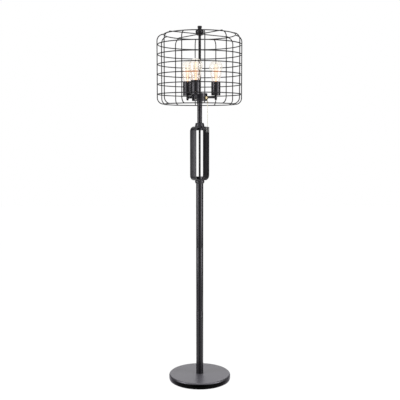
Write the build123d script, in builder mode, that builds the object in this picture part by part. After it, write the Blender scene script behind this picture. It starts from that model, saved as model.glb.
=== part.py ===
from build123d import *
import os
from math import acos, asin, atan2, cos, degrees, hypot, radians, sin, sqrt

# Wire cage floor lamp: a weighted round base, a three-piece pole, an open strap loop,
# a three-light cluster with a pull-chain switch, and a wire cage held by a finial.
# Millimetres, +Z up. The origin is the centre of the base, on the floor.
# Angles are about Z, from +X towards +Y. The front of the lamp is -Y.

# ---------------------------------------------------------------- driving sizes
SLIP = 0.1                  # radial clearance of a fixed piece in its seat
THREAD_SLIP = 0.05          # radial clearance of a piece that turns or slides on a thread
REST_GAP = 0.3              # gap between a moving piece and what it rests on

# Base
BASE_DIAMETER = 273.0
BASE_HEIGHT = 28.0
BASE_RIM_RADIUS = 13.0
BASE_WALL = 1.5
PAD_THICKNESS = 3.0
PAD_PROUD = 1.5             # how far the pad stands below the cover's edge
PAD_INSET = 0.3
WEIGHT_THICKNESS = 14.0
WEIGHT_SIDE_GAP = 4.0       # between the weight and the cover's wall
WASHER_RADIUS = 14.0
WASHER_THICKNESS = 1.5
BASE_NUT_THICKNESS = 5.0
NIPPLE_PROUD = 1.5          # how far the base nipple stands below its nut

# Cord bushing at the back of the base
CORD_ANGLE = 90.0
CORD_BORE_RADIUS = 3.1
CORD_BARREL_RADIUS = 4.3
CORD_INNER_FLANGE_RADIUS = 5.2
CORD_OUTER_FLANGE_RADIUS = 5.8
CORD_FLANGE_THICKNESS = 1.8
CORD_HEIGHT = 8.8

# Threaded lamp pipe and its nuts
PIPE_RADIUS = 5.0
PIPE_BORE_RADIUS = 3.0
NIPPLE_LENGTH = 40.0
PIPE_NUT_CORNER_RADIUS = 8.5

# Pole
POLE_RADIUS = 15.5
POLE_WALL = 1.2
POLE_SECTION_LENGTH = 283.5
POLE_EDGE = 0.4
BUSH_LENGTH = 16.0
BUSH_RECESS = 0.2           # how far each bush lies inside the end of its tube

# Collars and strap loop
LOWER_COLLAR_HEIGHT = 14.0
LOWER_COLLAR_RADIUS = 20.6
LOWER_COLLAR_TOP_RADIUS = 19.3
LOWER_COLLAR_FOOT_RADIUS = 17.0
LOOP_ANGLE = 45.0
LOOP_HEIGHT = 233.0
LOOP_WIDTH = 84.0
LOOP_CORNER_RADIUS = 22.0
STRAP_WIDTH = 35.0
STRAP_THICKNESS = 5.0
STRAP_EDGE = 0.8
LOOP_NUT_RADIUS = 15.25
LOOP_NUT_THICKNESS = 11.5
LOOP_NUT_EDGE = 0.8
LOOP_ROD_RADIUS = 4.5
LOOP_ROD_GRIP = 13.0        # how far the rod screws past the loop at each end
UPPER_COLLAR_HEIGHT = 15.5
UPPER_COLLAR_FOOT_RADIUS = 21.0
UPPER_COLLAR_TOP_RADIUS = 17.5
SPIGOT_LENGTH = 12.0

# Upper stem and coupling
STEM_RADIUS = 10.5
STEM_WALL = 1.2
STEM_LENGTH = 74.5
COUPLING_HEIGHT = 19.0
COUPLING_TOP_RADIUS = 12.5

# Cluster body
HUB_RADIUS = 33.5
HUB_HEIGHT = 33.0
HUB_WALL = 2.0
HUB_EDGE = 2.0
COVER_THICKNESS = 3.0
COVER_PLUG_DEPTH = 1.5
HUB_NUT_THICKNESS = 5.0
ARM_RADIUS = 4.0
ARM_BORE_RADIUS = 2.6
ARM_RISE = 16.0             # height of the arms above the hub's floor
ARM_NUT_CORNER_RADIUS = 6.5
ARM_NUT_THICKNESS = 2.5
ARM_END_RADIUS = 5.5
ARM_END_DROP = 5.5
ARM_END_RISE = 9.0

# Lights
LIGHT_REACH = 73.0
FRONT_LIGHT_ANGLE = -103.2
LIGHT_NAMES = ("front", "right", "left")
SOCKET_PIPE_RADIUS = 3.1
SOCKET_PIPE_BORE_RADIUS = 2.0
SOCKET_PIPE_DROP = 12.0
SOCKET_PIPE_RISE = 17.0
SOCKET_LOWER_NUT_RADIUS = 4.9
SOCKET_LOWER_NUT_THICKNESS = 4.5
SOCKET_INNER_NUT_RADIUS = 6.0
SOCKET_INNER_NUT_THICKNESS = 3.8
CUP_RADIUS = 20.0
CUP_WALL = 0.9
CUP_FLOOR = 1.2
CUP_HEIGHT = 59.5
CUP_EDGE = 1.0
HOLDER_RADIUS = 18.4
HOLDER_HEIGHT = 49.0
HOLDER_FLOOR = 8.0
HOLDER_BORE_RADIUS = 14.6
HOLDER_RECESS_SLIP = 0.6    # room round the pipe's end in the holder's underside
SHELL_RADIUS = 14.4
SHELL_WALL = 0.7
SHELL_HEIGHT = 30.0
CONTACT_RADIUS = 4.5
CONTACT_THICKNESS = 1.2

# Bulbs
BULB_LENGTH = 135.5
BULB_RADIUS = 29.0
BULB_NECK_RADIUS = 12.1
BULB_NECK_LENGTH = 11.0
BULB_NECK_BLEND = 40.0
GLASS_WALL = 0.9
CAP_RADIUS = 13.2
CAP_ROOT_RADIUS = 12.7
CAP_LENGTH = 27.5
CAP_WALL = 0.5
CAP_PITCH = 3.63
CAP_THREAD_COUNT = 5
CAP_SOLID_LENGTH = 18.5
CAP_BUTTON_RADIUS = 4.5
CAP_BUTTON_HEIGHT = 1.5
CAP_CONE_HEIGHT = 3.5
STEM_TUBE_RADIUS = 4.0
STEM_TUBE_LENGTH = 32.0
STEM_ROD_RADIUS = 1.2
STEM_FOOT_THICKNESS = 1.5
FILAMENT_WIRE_RADIUS = 0.4
FILAMENT_STRAND_COUNT = 10
FILAMENT_FOOT_RADIUS = 5.0
FILAMENT_FOOT_RISE = 41.0
FILAMENT_HEAD_RADIUS = 11.0
FILAMENT_HEAD_RISE = 98.0

# Pull-chain switch
SWITCH_ANGLE = -43.0
SWITCH_RISE = 13.0          # height of the nozzle's axis above the hub's floor
CASE_START = 8.6            # radius of the case's inner face
CASE_LENGTH = 19.4
CASE_WIDTH = 22.0
CASE_HEIGHT = 15.0
CASE_WALL = 1.5
CASE_LIFT = 5.0             # height of the case above the hub's floor
LEVER_PIVOT_REACH = 17.0
LEVER_PIVOT_SIDE = -6.2
LEVER_LENGTH = 8.6
LEVER_RADIUS = 2.3
LEVER_THICKNESS = 1.6
LEVER_PIN_RADIUS = 1.5
LEVER_PIN_RISE = 1.5        # how far the pin stands above the lever
PULL_TRAVEL = 8.0
NOZZLE_RADIUS = 5.0
NOZZLE_BORE_RADIUS = 1.8
NOZZLE_REACH = 44.5
NOZZLE_LIP_RADIUS = 7.5
NOZZLE_LIP_LENGTH = 2.0
NOZZLE_GRIP = 1.0
NOZZLE_NUT_RADIUS = 8.5
NOZZLE_NUT_THICKNESS = 4.0
BEAD_RADIUS = 1.2
BEAD_PITCH = 3.3
LINK_RADIUS = 0.4
TAIL_BEAD_COUNT = 8
SWITCH_CHAIN_BEAD_COUNT = 5
SWITCH_CHAIN_DROP = 2.0     # the first hanging bead below the nozzle's axis
CONNECTOR_RADIUS = 2.4
CONNECTOR_LENGTH = 7.0
CONNECTOR_CAVITY_RADIUS = 1.7
CONNECTOR_CAVITY_DEPTH = 3.2
PULL_CHAIN_BEAD_COUNT = 33
FOB_RADIUS = 7.0
FOB_LENGTH = 24.0
FOB_EDGE = 1.0
FOB_BORE_DEPTH = 4.5
FOB_BEAD_DEPTH = 2.5        # the last bead's centre below the fob's top

# Centre rod and finial
ROD_RADIUS = 5.0
ROD_FLANGE_RADIUS = 8.5
ROD_FLANGE_THICKNESS = 4.0
ROD_STUD_DROP = 14.0        # length of the rod's lower stud, below the cover's top
FINIAL_STUD_RADIUS = 3.0
FINIAL_STUD_LENGTH = 26.5
SEAT_RADIUS = 14.0
SEAT_FOOT_RADIUS = 11.0
SEAT_THICKNESS = 4.0
FINIAL_HEIGHT = 32.0
FINIAL_BALL_RADIUS = 17.8
FINIAL_BALL_RISE = 7.4
FINIAL_SHOULDER_RADIUS = 14.5
FINIAL_WAIST_RADIUS = 7.8
FINIAL_WAIST_RISE = 21.5
FINIAL_CAP_RADIUS = 9.3
FINIAL_CAP_HEIGHT = 8.5
FINIAL_CAP_EDGE = 1.0
FINIAL_BORE_DEPTH = 20.0

# Cage
CAGE_RADIUS = 183.0         # to the centre of the upright wires
CAGE_TOP = 1515.0           # to the centre of the top ring's wire
CAGE_HEIGHT = 294.0         # between the centres of the end rings' wires
WIRE_RADIUS = 1.75
WELD_BITE = 0.4             # how far two crossing wires melt into each other
TOP_RING_RADIUS = 154.0
BOTTOM_RING_RADIUS = 156.0
HOOP_COUNT = 6
RIB_COUNT = 12
RIB_ANGLE = 6.5
SPIDER_ARM_COUNT = 4
SPIDER_ANGLE = 36.5
SPIDER_HUB_RADIUS = 14.0
SPIDER_HUB_THICKNESS = 4.0
SPIDER_HUB_BORE_RADIUS = 3.3

# ------------------------------------------------------------- heights that follow
cover_edge = PAD_PROUD
weight_top = BASE_HEIGHT - BASE_WALL
weight_foot = weight_top - WEIGHT_THICKNESS
weight_radius = BASE_DIAMETER / 2 - BASE_WALL - WEIGHT_SIDE_GAP
washer_foot = weight_foot - WASHER_THICKNESS
base_nut_foot = washer_foot - BASE_NUT_THICKNESS
base_nipple_foot = base_nut_foot - NIPPLE_PROUD

pole_foot = BASE_HEIGHT
joint_heights = [pole_foot + POLE_SECTION_LENGTH * count for count in range(4)]
pole_top = joint_heights[-1]
loop_foot = pole_top + LOWER_COLLAR_HEIGHT
loop_top = loop_foot + LOOP_HEIGHT
loop_middle = (loop_foot + loop_top) / 2
stem_foot = loop_top + UPPER_COLLAR_HEIGHT
stem_top = stem_foot + STEM_LENGTH
hub_foot = stem_top + COUPLING_HEIGHT
hub_rim = hub_foot + HUB_HEIGHT - COVER_THICKNESS
hub_top = hub_foot + HUB_HEIGHT
arm_height = hub_foot + ARM_RISE
switch_height = hub_foot + SWITCH_RISE

cup_foot = arm_height + ARM_END_RISE
holder_foot = cup_foot + CUP_FLOOR + SOCKET_INNER_NUT_THICKNESS
holder_floor = holder_foot + HOLDER_FLOOR
holder_top = holder_foot + HOLDER_HEIGHT
bulb_foot = holder_floor + CONTACT_THICKNESS + REST_GAP
bulb_top = bulb_foot + BULB_LENGTH
glass_foot = bulb_foot + CAP_SOLID_LENGTH + REST_GAP
cap_top = bulb_foot + CAP_LENGTH

spider_height = CAGE_TOP + 2 * WIRE_RADIUS - WELD_BITE    # the spokes lie on the top ring
spider_foot = spider_height - SPIDER_HUB_THICKNESS / 2
spider_top = spider_height + SPIDER_HUB_THICKNESS / 2
seat_foot = spider_foot - SEAT_THICKNESS
finial_foot = spider_top
cage_bottom = CAGE_TOP - CAGE_HEIGHT
ring_step = CAGE_HEIGHT / (HOOP_COUNT + 1)
hoop_radius = CAGE_RADIUS - 2 * WIRE_RADIUS + WELD_BITE

pole_bore_radius = POLE_RADIUS - POLE_WALL
stem_bore_radius = STEM_RADIUS - STEM_WALL
light_angles = [FRONT_LIGHT_ANGLE + 120 * count for count in range(3)]


# --------------------------------------------------------------------- helpers
def save(piece, label):
    """Name a finished piece and write its file."""
    piece.part.label = label
    export_step(piece.part, f"parts/{label}.step")


def around(angle, reach):
    """The point of the ground plan at an angle and a distance from the lamp's axis."""
    return (reach * cos(radians(angle)), reach * sin(radians(angle)))


def facing_out(angle, reach, height):
    """The plane square to a radius: its normal points outwards and its y axis points up."""
    x, y = around(angle, 1)
    return Plane(origin=(*around(angle, reach), height), x_dir=(-y, x, 0), z_dir=(x, y, 0))


def upright(angle):
    """The plane through the lamp's axis at an angle: x is the radius, y is the height."""
    x, y = around(angle, 1)
    return Plane(origin=(0, 0, 0), x_dir=(x, y, 0), z_dir=(y, -x, 0))


def level(angle, height):
    """The level plane at a height whose x axis is the radius at an angle."""
    return Plane(origin=(0, 0, height), x_dir=(*around(angle, 1), 0), z_dir=(0, 0, 1))


def bar(plane, radius, length, bore=0.0, mode=Mode.ADD):
    """Add a round bar, or a tube with a bore, that stands on a plane."""
    with BuildSketch(plane) as section:
        Circle(radius)
        if bore:
            Circle(bore, mode=Mode.SUBTRACT)
    extrude(section.sketch, amount=length, mode=mode)


def tube(radius, bore, foot, top, centre=(0, 0)):
    """Add an upright tube between two heights."""
    bar(Plane((*centre, foot)), radius, top - foot, bore)


def nut(plane, corner_radius, bore, thickness):
    """Add a hexagon nut that stands on a plane."""
    with BuildSketch(plane) as section:
        RegularPolygon(corner_radius, 6)
        Circle(bore, mode=Mode.SUBTRACT)
    extrude(section.sketch, amount=thickness)


def turned(points, centre=(0, 0)):
    """Add a turned piece from the (radius, height) corners of its half section."""
    plane = Plane(origin=(*centre, 0), x_dir=(1, 0, 0), z_dir=(0, -1, 0))
    with BuildSketch(plane) as section:
        with BuildLine():
            Polyline(*points, close=True)
        make_face()
    revolve(section.sketch, axis=Axis((*centre, 0), (0, 0, 1)))


def wire_ring(radius, height):
    """Add a level ring of the cage's wire."""
    with BuildSketch(Plane.XZ) as section:
        with Locations((radius, height)):
            Circle(WIRE_RADIUS)
    revolve(section.sketch, axis=Axis.Z)


def bead_string(plane, axis, first, count):
    """Add a ball chain along a plane's y axis, from its first bead downwards."""
    half = sqrt(BEAD_RADIUS**2 - LINK_RADIUS**2)
    top = first + half
    last = first - (count - 1) * BEAD_PITCH
    with BuildSketch(plane) as section:
        with BuildLine():
            Line((0, last - half), (0, top))
            Line((0, top), (LINK_RADIUS, top))
            for bead in range(count):
                middle = first - bead * BEAD_PITCH
                ThreePointArc((LINK_RADIUS, middle + half), (BEAD_RADIUS, middle),
                              (LINK_RADIUS, middle - half))
                if bead < count - 1:
                    Line((LINK_RADIUS, middle - half), (LINK_RADIUS, middle - BEAD_PITCH + half))
            Line((LINK_RADIUS, last - half), (0, last - half))
        make_face()
    revolve(section.sketch, axis=axis)


os.makedirs("parts", exist_ok=True)

# ------------------------------------------------------------------------ base
with BuildPart() as base_cover:
    with BuildSketch(Plane.XY.offset(cover_edge)):
        Circle(BASE_DIAMETER / 2)
    extrude(amount=BASE_HEIGHT - cover_edge)
    fillet(base_cover.edges().group_by(Axis.Z)[-1], BASE_RIM_RADIUS)
    offset(amount=-BASE_WALL, openings=base_cover.faces().sort_by(Axis.Z)[0])
    bar(Plane.XY, PIPE_RADIUS + SLIP, BASE_HEIGHT, mode=Mode.SUBTRACT)
    bar(facing_out(CORD_ANGLE, BASE_DIAMETER / 2 - BASE_RIM_RADIUS, CORD_HEIGHT),
        CORD_BARREL_RADIUS + SLIP, BASE_RIM_RADIUS, mode=Mode.SUBTRACT)
save(base_cover, "base_cover")

with BuildPart() as base_weight:
    tube(weight_radius, PIPE_RADIUS + SLIP, weight_foot, weight_top)
    fillet(base_weight.edges().group_by(Axis.Z)[-1].sort_by(SortBy.LENGTH)[-1],
           BASE_RIM_RADIUS - BASE_WALL)
save(base_weight, "base_weight")

with BuildPart() as base_pad:
    with BuildSketch(Plane.XY):
        Circle(BASE_DIAMETER / 2 - BASE_WALL - PAD_INSET)
    extrude(amount=PAD_THICKNESS)
save(base_pad, "base_pad")

with BuildPart() as base_washer:
    tube(WASHER_RADIUS, PIPE_RADIUS + SLIP, washer_foot, weight_foot)
save(base_washer, "base_washer")

with BuildPart() as base_lock_nut:
    nut(Plane.XY.offset(base_nut_foot), PIPE_NUT_CORNER_RADIUS, PIPE_RADIUS + THREAD_SLIP,
        BASE_NUT_THICKNESS)
save(base_lock_nut, "base_lock_nut")

# The bushing's inner flange is pressed against the cover's curved wall, so it stops a little short.
bushing_start = BASE_DIAMETER / 2 - BASE_WALL - 2 * SLIP - CORD_FLANGE_THICKNESS
bushing_end = BASE_DIAMETER / 2 + CORD_FLANGE_THICKNESS
with BuildPart() as cord_bushing:
    inner_end = facing_out(CORD_ANGLE, bushing_start, CORD_HEIGHT)
    bar(inner_end, CORD_BARREL_RADIUS, bushing_end - bushing_start)
    bar(inner_end, CORD_INNER_FLANGE_RADIUS, CORD_FLANGE_THICKNESS)
    bar(facing_out(CORD_ANGLE, BASE_DIAMETER / 2, CORD_HEIGHT), CORD_OUTER_FLANGE_RADIUS,
        CORD_FLANGE_THICKNESS)
    bar(inner_end, CORD_BORE_RADIUS, bushing_end - bushing_start, mode=Mode.SUBTRACT)
save(cord_bushing, "cord_bushing")

# ------------------------------------------------------------------------ pole
for section_name, section_foot in zip(("lower", "middle", "upper"), joint_heights):
    with BuildPart() as pole_section:
        tube(POLE_RADIUS, pole_bore_radius, section_foot, section_foot + POLE_SECTION_LENGTH)
        chamfer(pole_section.edges().filter_by(GeomType.CIRCLE).filter_by(
            lambda edge: edge.radius > pole_bore_radius + POLE_WALL / 2), POLE_EDGE)
    save(pole_section, f"pole_{section_name}")

with BuildPart() as pole_end_bushes:
    for section_foot in joint_heights[:-1]:
        bush_foot = section_foot + BUSH_RECESS
        tube(pole_bore_radius - SLIP, PIPE_RADIUS + THREAD_SLIP, bush_foot, bush_foot + BUSH_LENGTH)
    for section_top in joint_heights[1:-1]:
        bush_top = section_top - BUSH_RECESS
        tube(pole_bore_radius - SLIP, PIPE_RADIUS + THREAD_SLIP, bush_top - BUSH_LENGTH, bush_top)
save(pole_end_bushes, "pole_end_bushes")

# The top nipple passes through the hub's floor and its nut.
hub_nipple_top = hub_foot + HUB_WALL + HUB_NUT_THICKNESS + NIPPLE_PROUD
with BuildPart() as lamp_pipe_nipples:
    tube(PIPE_RADIUS, PIPE_BORE_RADIUS, base_nipple_foot, base_nipple_foot + NIPPLE_LENGTH)
    for joint in joint_heights[1:-1]:
        tube(PIPE_RADIUS, PIPE_BORE_RADIUS, joint - NIPPLE_LENGTH / 2, joint + NIPPLE_LENGTH / 2)
    tube(PIPE_RADIUS, PIPE_BORE_RADIUS, hub_nipple_top - NIPPLE_LENGTH, hub_nipple_top)
save(lamp_pipe_nipples, "lamp_pipe_nipples")

# ------------------------------------------------------- collars and strap loop
rod_hole_radius = LOOP_ROD_RADIUS + THREAD_SLIP
collar_swell = (pole_top + loop_foot) / 2
with BuildPart() as lower_collar:
    with BuildSketch(Plane.XZ):
        with BuildLine():
            ThreePointArc((LOWER_COLLAR_FOOT_RADIUS, pole_top), (LOWER_COLLAR_RADIUS, collar_swell),
                          (LOWER_COLLAR_TOP_RADIUS, loop_foot))
            Polyline((LOWER_COLLAR_TOP_RADIUS, loop_foot), (rod_hole_radius, loop_foot),
                     (rod_hole_radius, pole_top - SPIGOT_LENGTH),
                     (pole_bore_radius - SLIP, pole_top - SPIGOT_LENGTH), (pole_bore_radius - SLIP, pole_top),
                     (LOWER_COLLAR_FOOT_RADIUS, pole_top))
        make_face()
    revolve(axis=Axis.Z)
save(lower_collar, "lower_collar")

loop_plane = upright(LOOP_ANGLE)
with BuildPart() as strap_loop:
    with BuildSketch(loop_plane.offset(-STRAP_WIDTH / 2)):
        with Locations((0, loop_middle)):
            RectangleRounded(LOOP_WIDTH, LOOP_HEIGHT, LOOP_CORNER_RADIUS)
            RectangleRounded(LOOP_WIDTH - 2 * STRAP_THICKNESS, LOOP_HEIGHT - 2 * STRAP_THICKNESS,
                             LOOP_CORNER_RADIUS - STRAP_THICKNESS, mode=Mode.SUBTRACT)
    extrude(amount=STRAP_WIDTH)
    fillet(strap_loop.faces().filter_by(Axis((0, 0, 0), loop_plane.z_dir)).edges(), STRAP_EDGE)
    bar(Plane.XY.offset(loop_foot), rod_hole_radius, LOOP_HEIGHT, mode=Mode.SUBTRACT)
save(strap_loop, "strap_loop")

loop_inner_foot = loop_foot + STRAP_THICKNESS
loop_inner_top = loop_top - STRAP_THICKNESS
with BuildPart() as loop_nuts:
    tube(LOOP_NUT_RADIUS, rod_hole_radius, loop_inner_foot, loop_inner_foot + LOOP_NUT_THICKNESS)
    tube(LOOP_NUT_RADIUS, rod_hole_radius, loop_inner_top - LOOP_NUT_THICKNESS, loop_inner_top)
    chamfer(loop_nuts.edges().filter_by(GeomType.CIRCLE).filter_by(
        lambda edge: edge.radius > rod_hole_radius + LOOP_NUT_EDGE), LOOP_NUT_EDGE)
save(loop_nuts, "loop_nuts")

with BuildPart() as loop_rod:
    tube(LOOP_ROD_RADIUS, PIPE_BORE_RADIUS, loop_foot - LOOP_ROD_GRIP, loop_top + LOOP_ROD_GRIP)
save(loop_rod, "loop_rod")

with BuildPart() as upper_collar:
    turned([(rod_hole_radius, loop_top), (UPPER_COLLAR_FOOT_RADIUS, loop_top),
            (UPPER_COLLAR_TOP_RADIUS, stem_foot), (stem_bore_radius - SLIP, stem_foot),
            (stem_bore_radius - SLIP, stem_foot + SPIGOT_LENGTH),
            (rod_hole_radius, stem_foot + SPIGOT_LENGTH)])
save(upper_collar, "upper_collar")

with BuildPart() as upper_stem:
    tube(STEM_RADIUS, stem_bore_radius, stem_foot, stem_top)
save(upper_stem, "upper_stem")

with BuildPart() as stem_coupling:
    turned([(PIPE_RADIUS + THREAD_SLIP, stem_top - SPIGOT_LENGTH),
            (stem_bore_radius - SLIP, stem_top - SPIGOT_LENGTH), (stem_bore_radius - SLIP, stem_top),
            (STEM_RADIUS, stem_top), (COUPLING_TOP_RADIUS, hub_foot), (PIPE_RADIUS + THREAD_SLIP, hub_foot)])
save(stem_coupling, "stem_coupling")

# ---------------------------------------------------------------- cluster body
hub_bore_radius = HUB_RADIUS - HUB_WALL
with BuildPart() as cluster_body:
    with BuildSketch(Plane.XY.offset(hub_foot)):
        Circle(HUB_RADIUS)
    extrude(amount=hub_rim - hub_foot)
    offset(amount=-HUB_WALL, openings=cluster_body.faces().sort_by(Axis.Z)[-1])
    fillet(cluster_body.edges().group_by(Axis.Z)[0], HUB_EDGE)
    bar(Plane.XY.offset(hub_foot), PIPE_RADIUS + SLIP, HUB_WALL, mode=Mode.SUBTRACT)
    for angle in light_angles:
        bar(facing_out(angle, HUB_RADIUS / 2, arm_height), ARM_RADIUS + SLIP, HUB_RADIUS, mode=Mode.SUBTRACT)
    bar(facing_out(SWITCH_ANGLE, HUB_RADIUS / 2, switch_height), NOZZLE_RADIUS + SLIP, HUB_RADIUS,
        mode=Mode.SUBTRACT)
save(cluster_body, "cluster_body")

with BuildPart() as cluster_cover:
    turned([(PIPE_RADIUS + SLIP, hub_rim - COVER_PLUG_DEPTH),
            (hub_bore_radius - SLIP, hub_rim - COVER_PLUG_DEPTH), (hub_bore_radius - SLIP, hub_rim),
            (HUB_RADIUS, hub_rim), (HUB_RADIUS, hub_top - HUB_EDGE), (HUB_RADIUS - HUB_EDGE, hub_top),
            (PIPE_RADIUS + SLIP, hub_top)])
save(cluster_cover, "cluster_cover")

with BuildPart() as hub_nuts:
    for nut_foot in (hub_foot + HUB_WALL, hub_rim - COVER_PLUG_DEPTH - HUB_NUT_THICKNESS):
        nut(Plane.XY.offset(nut_foot), PIPE_NUT_CORNER_RADIUS, PIPE_RADIUS + THREAD_SLIP, HUB_NUT_THICKNESS)
save(hub_nuts, "hub_nuts")

# The arm nuts bear on the hub's round wall by their corners.
arm_nut_face = sqrt(hub_bore_radius**2 - ARM_NUT_CORNER_RADIUS**2) - SLIP
arm_start = arm_nut_face - ARM_NUT_THICKNESS - SLIP
for light, angle in zip(LIGHT_NAMES, light_angles):
    arm_root = facing_out(angle, arm_start, arm_height)
    arm_end = Plane((*around(angle, LIGHT_REACH), arm_height - ARM_END_DROP))
    with BuildPart() as arm:
        bar(arm_root, ARM_RADIUS, LIGHT_REACH - arm_start)
        bar(arm_end, ARM_END_RADIUS, ARM_END_DROP + ARM_END_RISE)
        bar(arm_root, ARM_BORE_RADIUS, LIGHT_REACH - arm_start, mode=Mode.SUBTRACT)
        bar(arm_end, SOCKET_PIPE_RADIUS + SLIP, ARM_END_DROP + ARM_END_RISE, mode=Mode.SUBTRACT)
    save(arm, f"arm_{light}")

with BuildPart() as arm_nuts:
    for angle in light_angles:
        nut(facing_out(angle, arm_nut_face - ARM_NUT_THICKNESS, arm_height), ARM_NUT_CORNER_RADIUS,
            ARM_RADIUS + THREAD_SLIP, ARM_NUT_THICKNESS)
save(arm_nuts, "arm_nuts")

# --------------------------------------------------------------------- sockets
with BuildPart() as socket_nipples:
    for angle in light_angles:
        tube(SOCKET_PIPE_RADIUS, SOCKET_PIPE_BORE_RADIUS, arm_height - SOCKET_PIPE_DROP,
             arm_height + SOCKET_PIPE_RISE, around(angle, LIGHT_REACH))
save(socket_nipples, "socket_nipples")

lower_nut_foot = arm_height - ARM_END_DROP - SOCKET_LOWER_NUT_THICKNESS
with BuildPart() as socket_nuts:
    for angle in light_angles:
        x, y = around(angle, LIGHT_REACH)
        nut(Plane((x, y, lower_nut_foot)), SOCKET_LOWER_NUT_RADIUS, SOCKET_PIPE_RADIUS + THREAD_SLIP,
            SOCKET_LOWER_NUT_THICKNESS)
        nut(Plane((x, y, cup_foot + CUP_FLOOR)), SOCKET_INNER_NUT_RADIUS, SOCKET_PIPE_RADIUS + THREAD_SLIP,
            SOCKET_INNER_NUT_THICKNESS)
save(socket_nuts, "socket_nuts")

cup_bore_radius = CUP_RADIUS - CUP_WALL
cup_hole_radius = SOCKET_PIPE_RADIUS + SLIP
holder_recess_radius = SOCKET_PIPE_RADIUS + HOLDER_RECESS_SLIP
holder_recess_top = arm_height + SOCKET_PIPE_RISE + HOLDER_RECESS_SLIP
for light, angle in zip(LIGHT_NAMES, light_angles):
    light_centre = around(angle, LIGHT_REACH)
    with BuildPart() as socket_cup:
        turned([(cup_hole_radius, cup_foot), (CUP_RADIUS - CUP_EDGE, cup_foot),
                (CUP_RADIUS, cup_foot + CUP_EDGE), (CUP_RADIUS, cup_foot + CUP_HEIGHT),
                (cup_bore_radius, cup_foot + CUP_HEIGHT), (cup_bore_radius, cup_foot + CUP_FLOOR),
                (cup_hole_radius, cup_foot + CUP_FLOOR)], light_centre)
    save(socket_cup, f"socket_cup_{light}")
    with BuildPart() as lampholder:
        turned([(SOCKET_PIPE_BORE_RADIUS, holder_recess_top), (holder_recess_radius, holder_recess_top),
                (holder_recess_radius, holder_foot), (HOLDER_RADIUS, holder_foot),
                (HOLDER_RADIUS, holder_top), (HOLDER_BORE_RADIUS, holder_top),
                (HOLDER_BORE_RADIUS, holder_floor), (SOCKET_PIPE_BORE_RADIUS, holder_floor)], light_centre)
    save(lampholder, f"lampholder_{light}")

with BuildPart() as screw_shells:
    for angle in light_angles:
        tube(SHELL_RADIUS, SHELL_RADIUS - SHELL_WALL, holder_floor, holder_floor + SHELL_HEIGHT,
             around(angle, LIGHT_REACH))
save(screw_shells, "screw_shells")

with BuildPart() as centre_contacts:
    for angle in light_angles:
        bar(Plane((*around(angle, LIGHT_REACH), holder_floor)), CONTACT_RADIUS, CONTACT_THICKNESS)
save(centre_contacts, "centre_contacts")

# ----------------------------------------------------------------------- bulbs
# The glass is a round dome, a cone tangent to it and a neck blended into the cone.
neck_top = glass_foot + BULB_NECK_LENGTH
dome_centre = bulb_top - BULB_RADIUS
cone_reach = hypot(BULB_NECK_RADIUS, dome_centre - neck_top)
cone_turn = atan2(neck_top - dome_centre, BULB_NECK_RADIUS) + acos(BULB_RADIUS / cone_reach)
cone_end = (BULB_RADIUS * cos(cone_turn), dome_centre + BULB_RADIUS * sin(cone_turn))
dome_side = radians(45)
dome_point = (BULB_RADIUS * cos(dome_side), dome_centre + BULB_RADIUS * sin(dome_side))

thread_foot = bulb_foot + CAP_BUTTON_HEIGHT + CAP_CONE_HEIGHT
cap_outline = [(0, bulb_foot), (CAP_BUTTON_RADIUS, bulb_foot),
               (CAP_BUTTON_RADIUS, bulb_foot + CAP_BUTTON_HEIGHT), (CAP_ROOT_RADIUS, thread_foot)]
for turn in range(CAP_THREAD_COUNT):
    cap_outline.append((CAP_RADIUS, thread_foot + (turn + 0.5) * CAP_PITCH))
    cap_outline.append((CAP_ROOT_RADIUS, thread_foot + (turn + 1) * CAP_PITCH))
cap_inner_radius = CAP_ROOT_RADIUS - CAP_WALL
cap_outline += [(CAP_ROOT_RADIUS, cap_top), (cap_inner_radius, cap_top),
                (cap_inner_radius, bulb_foot + CAP_SOLID_LENGTH), (0, bulb_foot + CAP_SOLID_LENGTH)]

stem_foot_radius = BULB_NECK_RADIUS - GLASS_WALL - SLIP
stem_foot_top = glass_foot + STEM_FOOT_THICKNESS
stem_tube_top = glass_foot + STEM_TUBE_LENGTH
stem_rod_top = glass_foot + FILAMENT_HEAD_RISE + 2 * STEM_ROD_RADIUS
stem_outline = [(0, glass_foot), (stem_foot_radius, glass_foot), (stem_foot_radius, stem_foot_top),
                (STEM_TUBE_RADIUS, stem_foot_top), (STEM_TUBE_RADIUS, stem_tube_top),
                (STEM_ROD_RADIUS, stem_tube_top), (STEM_ROD_RADIUS, stem_rod_top), (0, stem_rod_top)]

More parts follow.
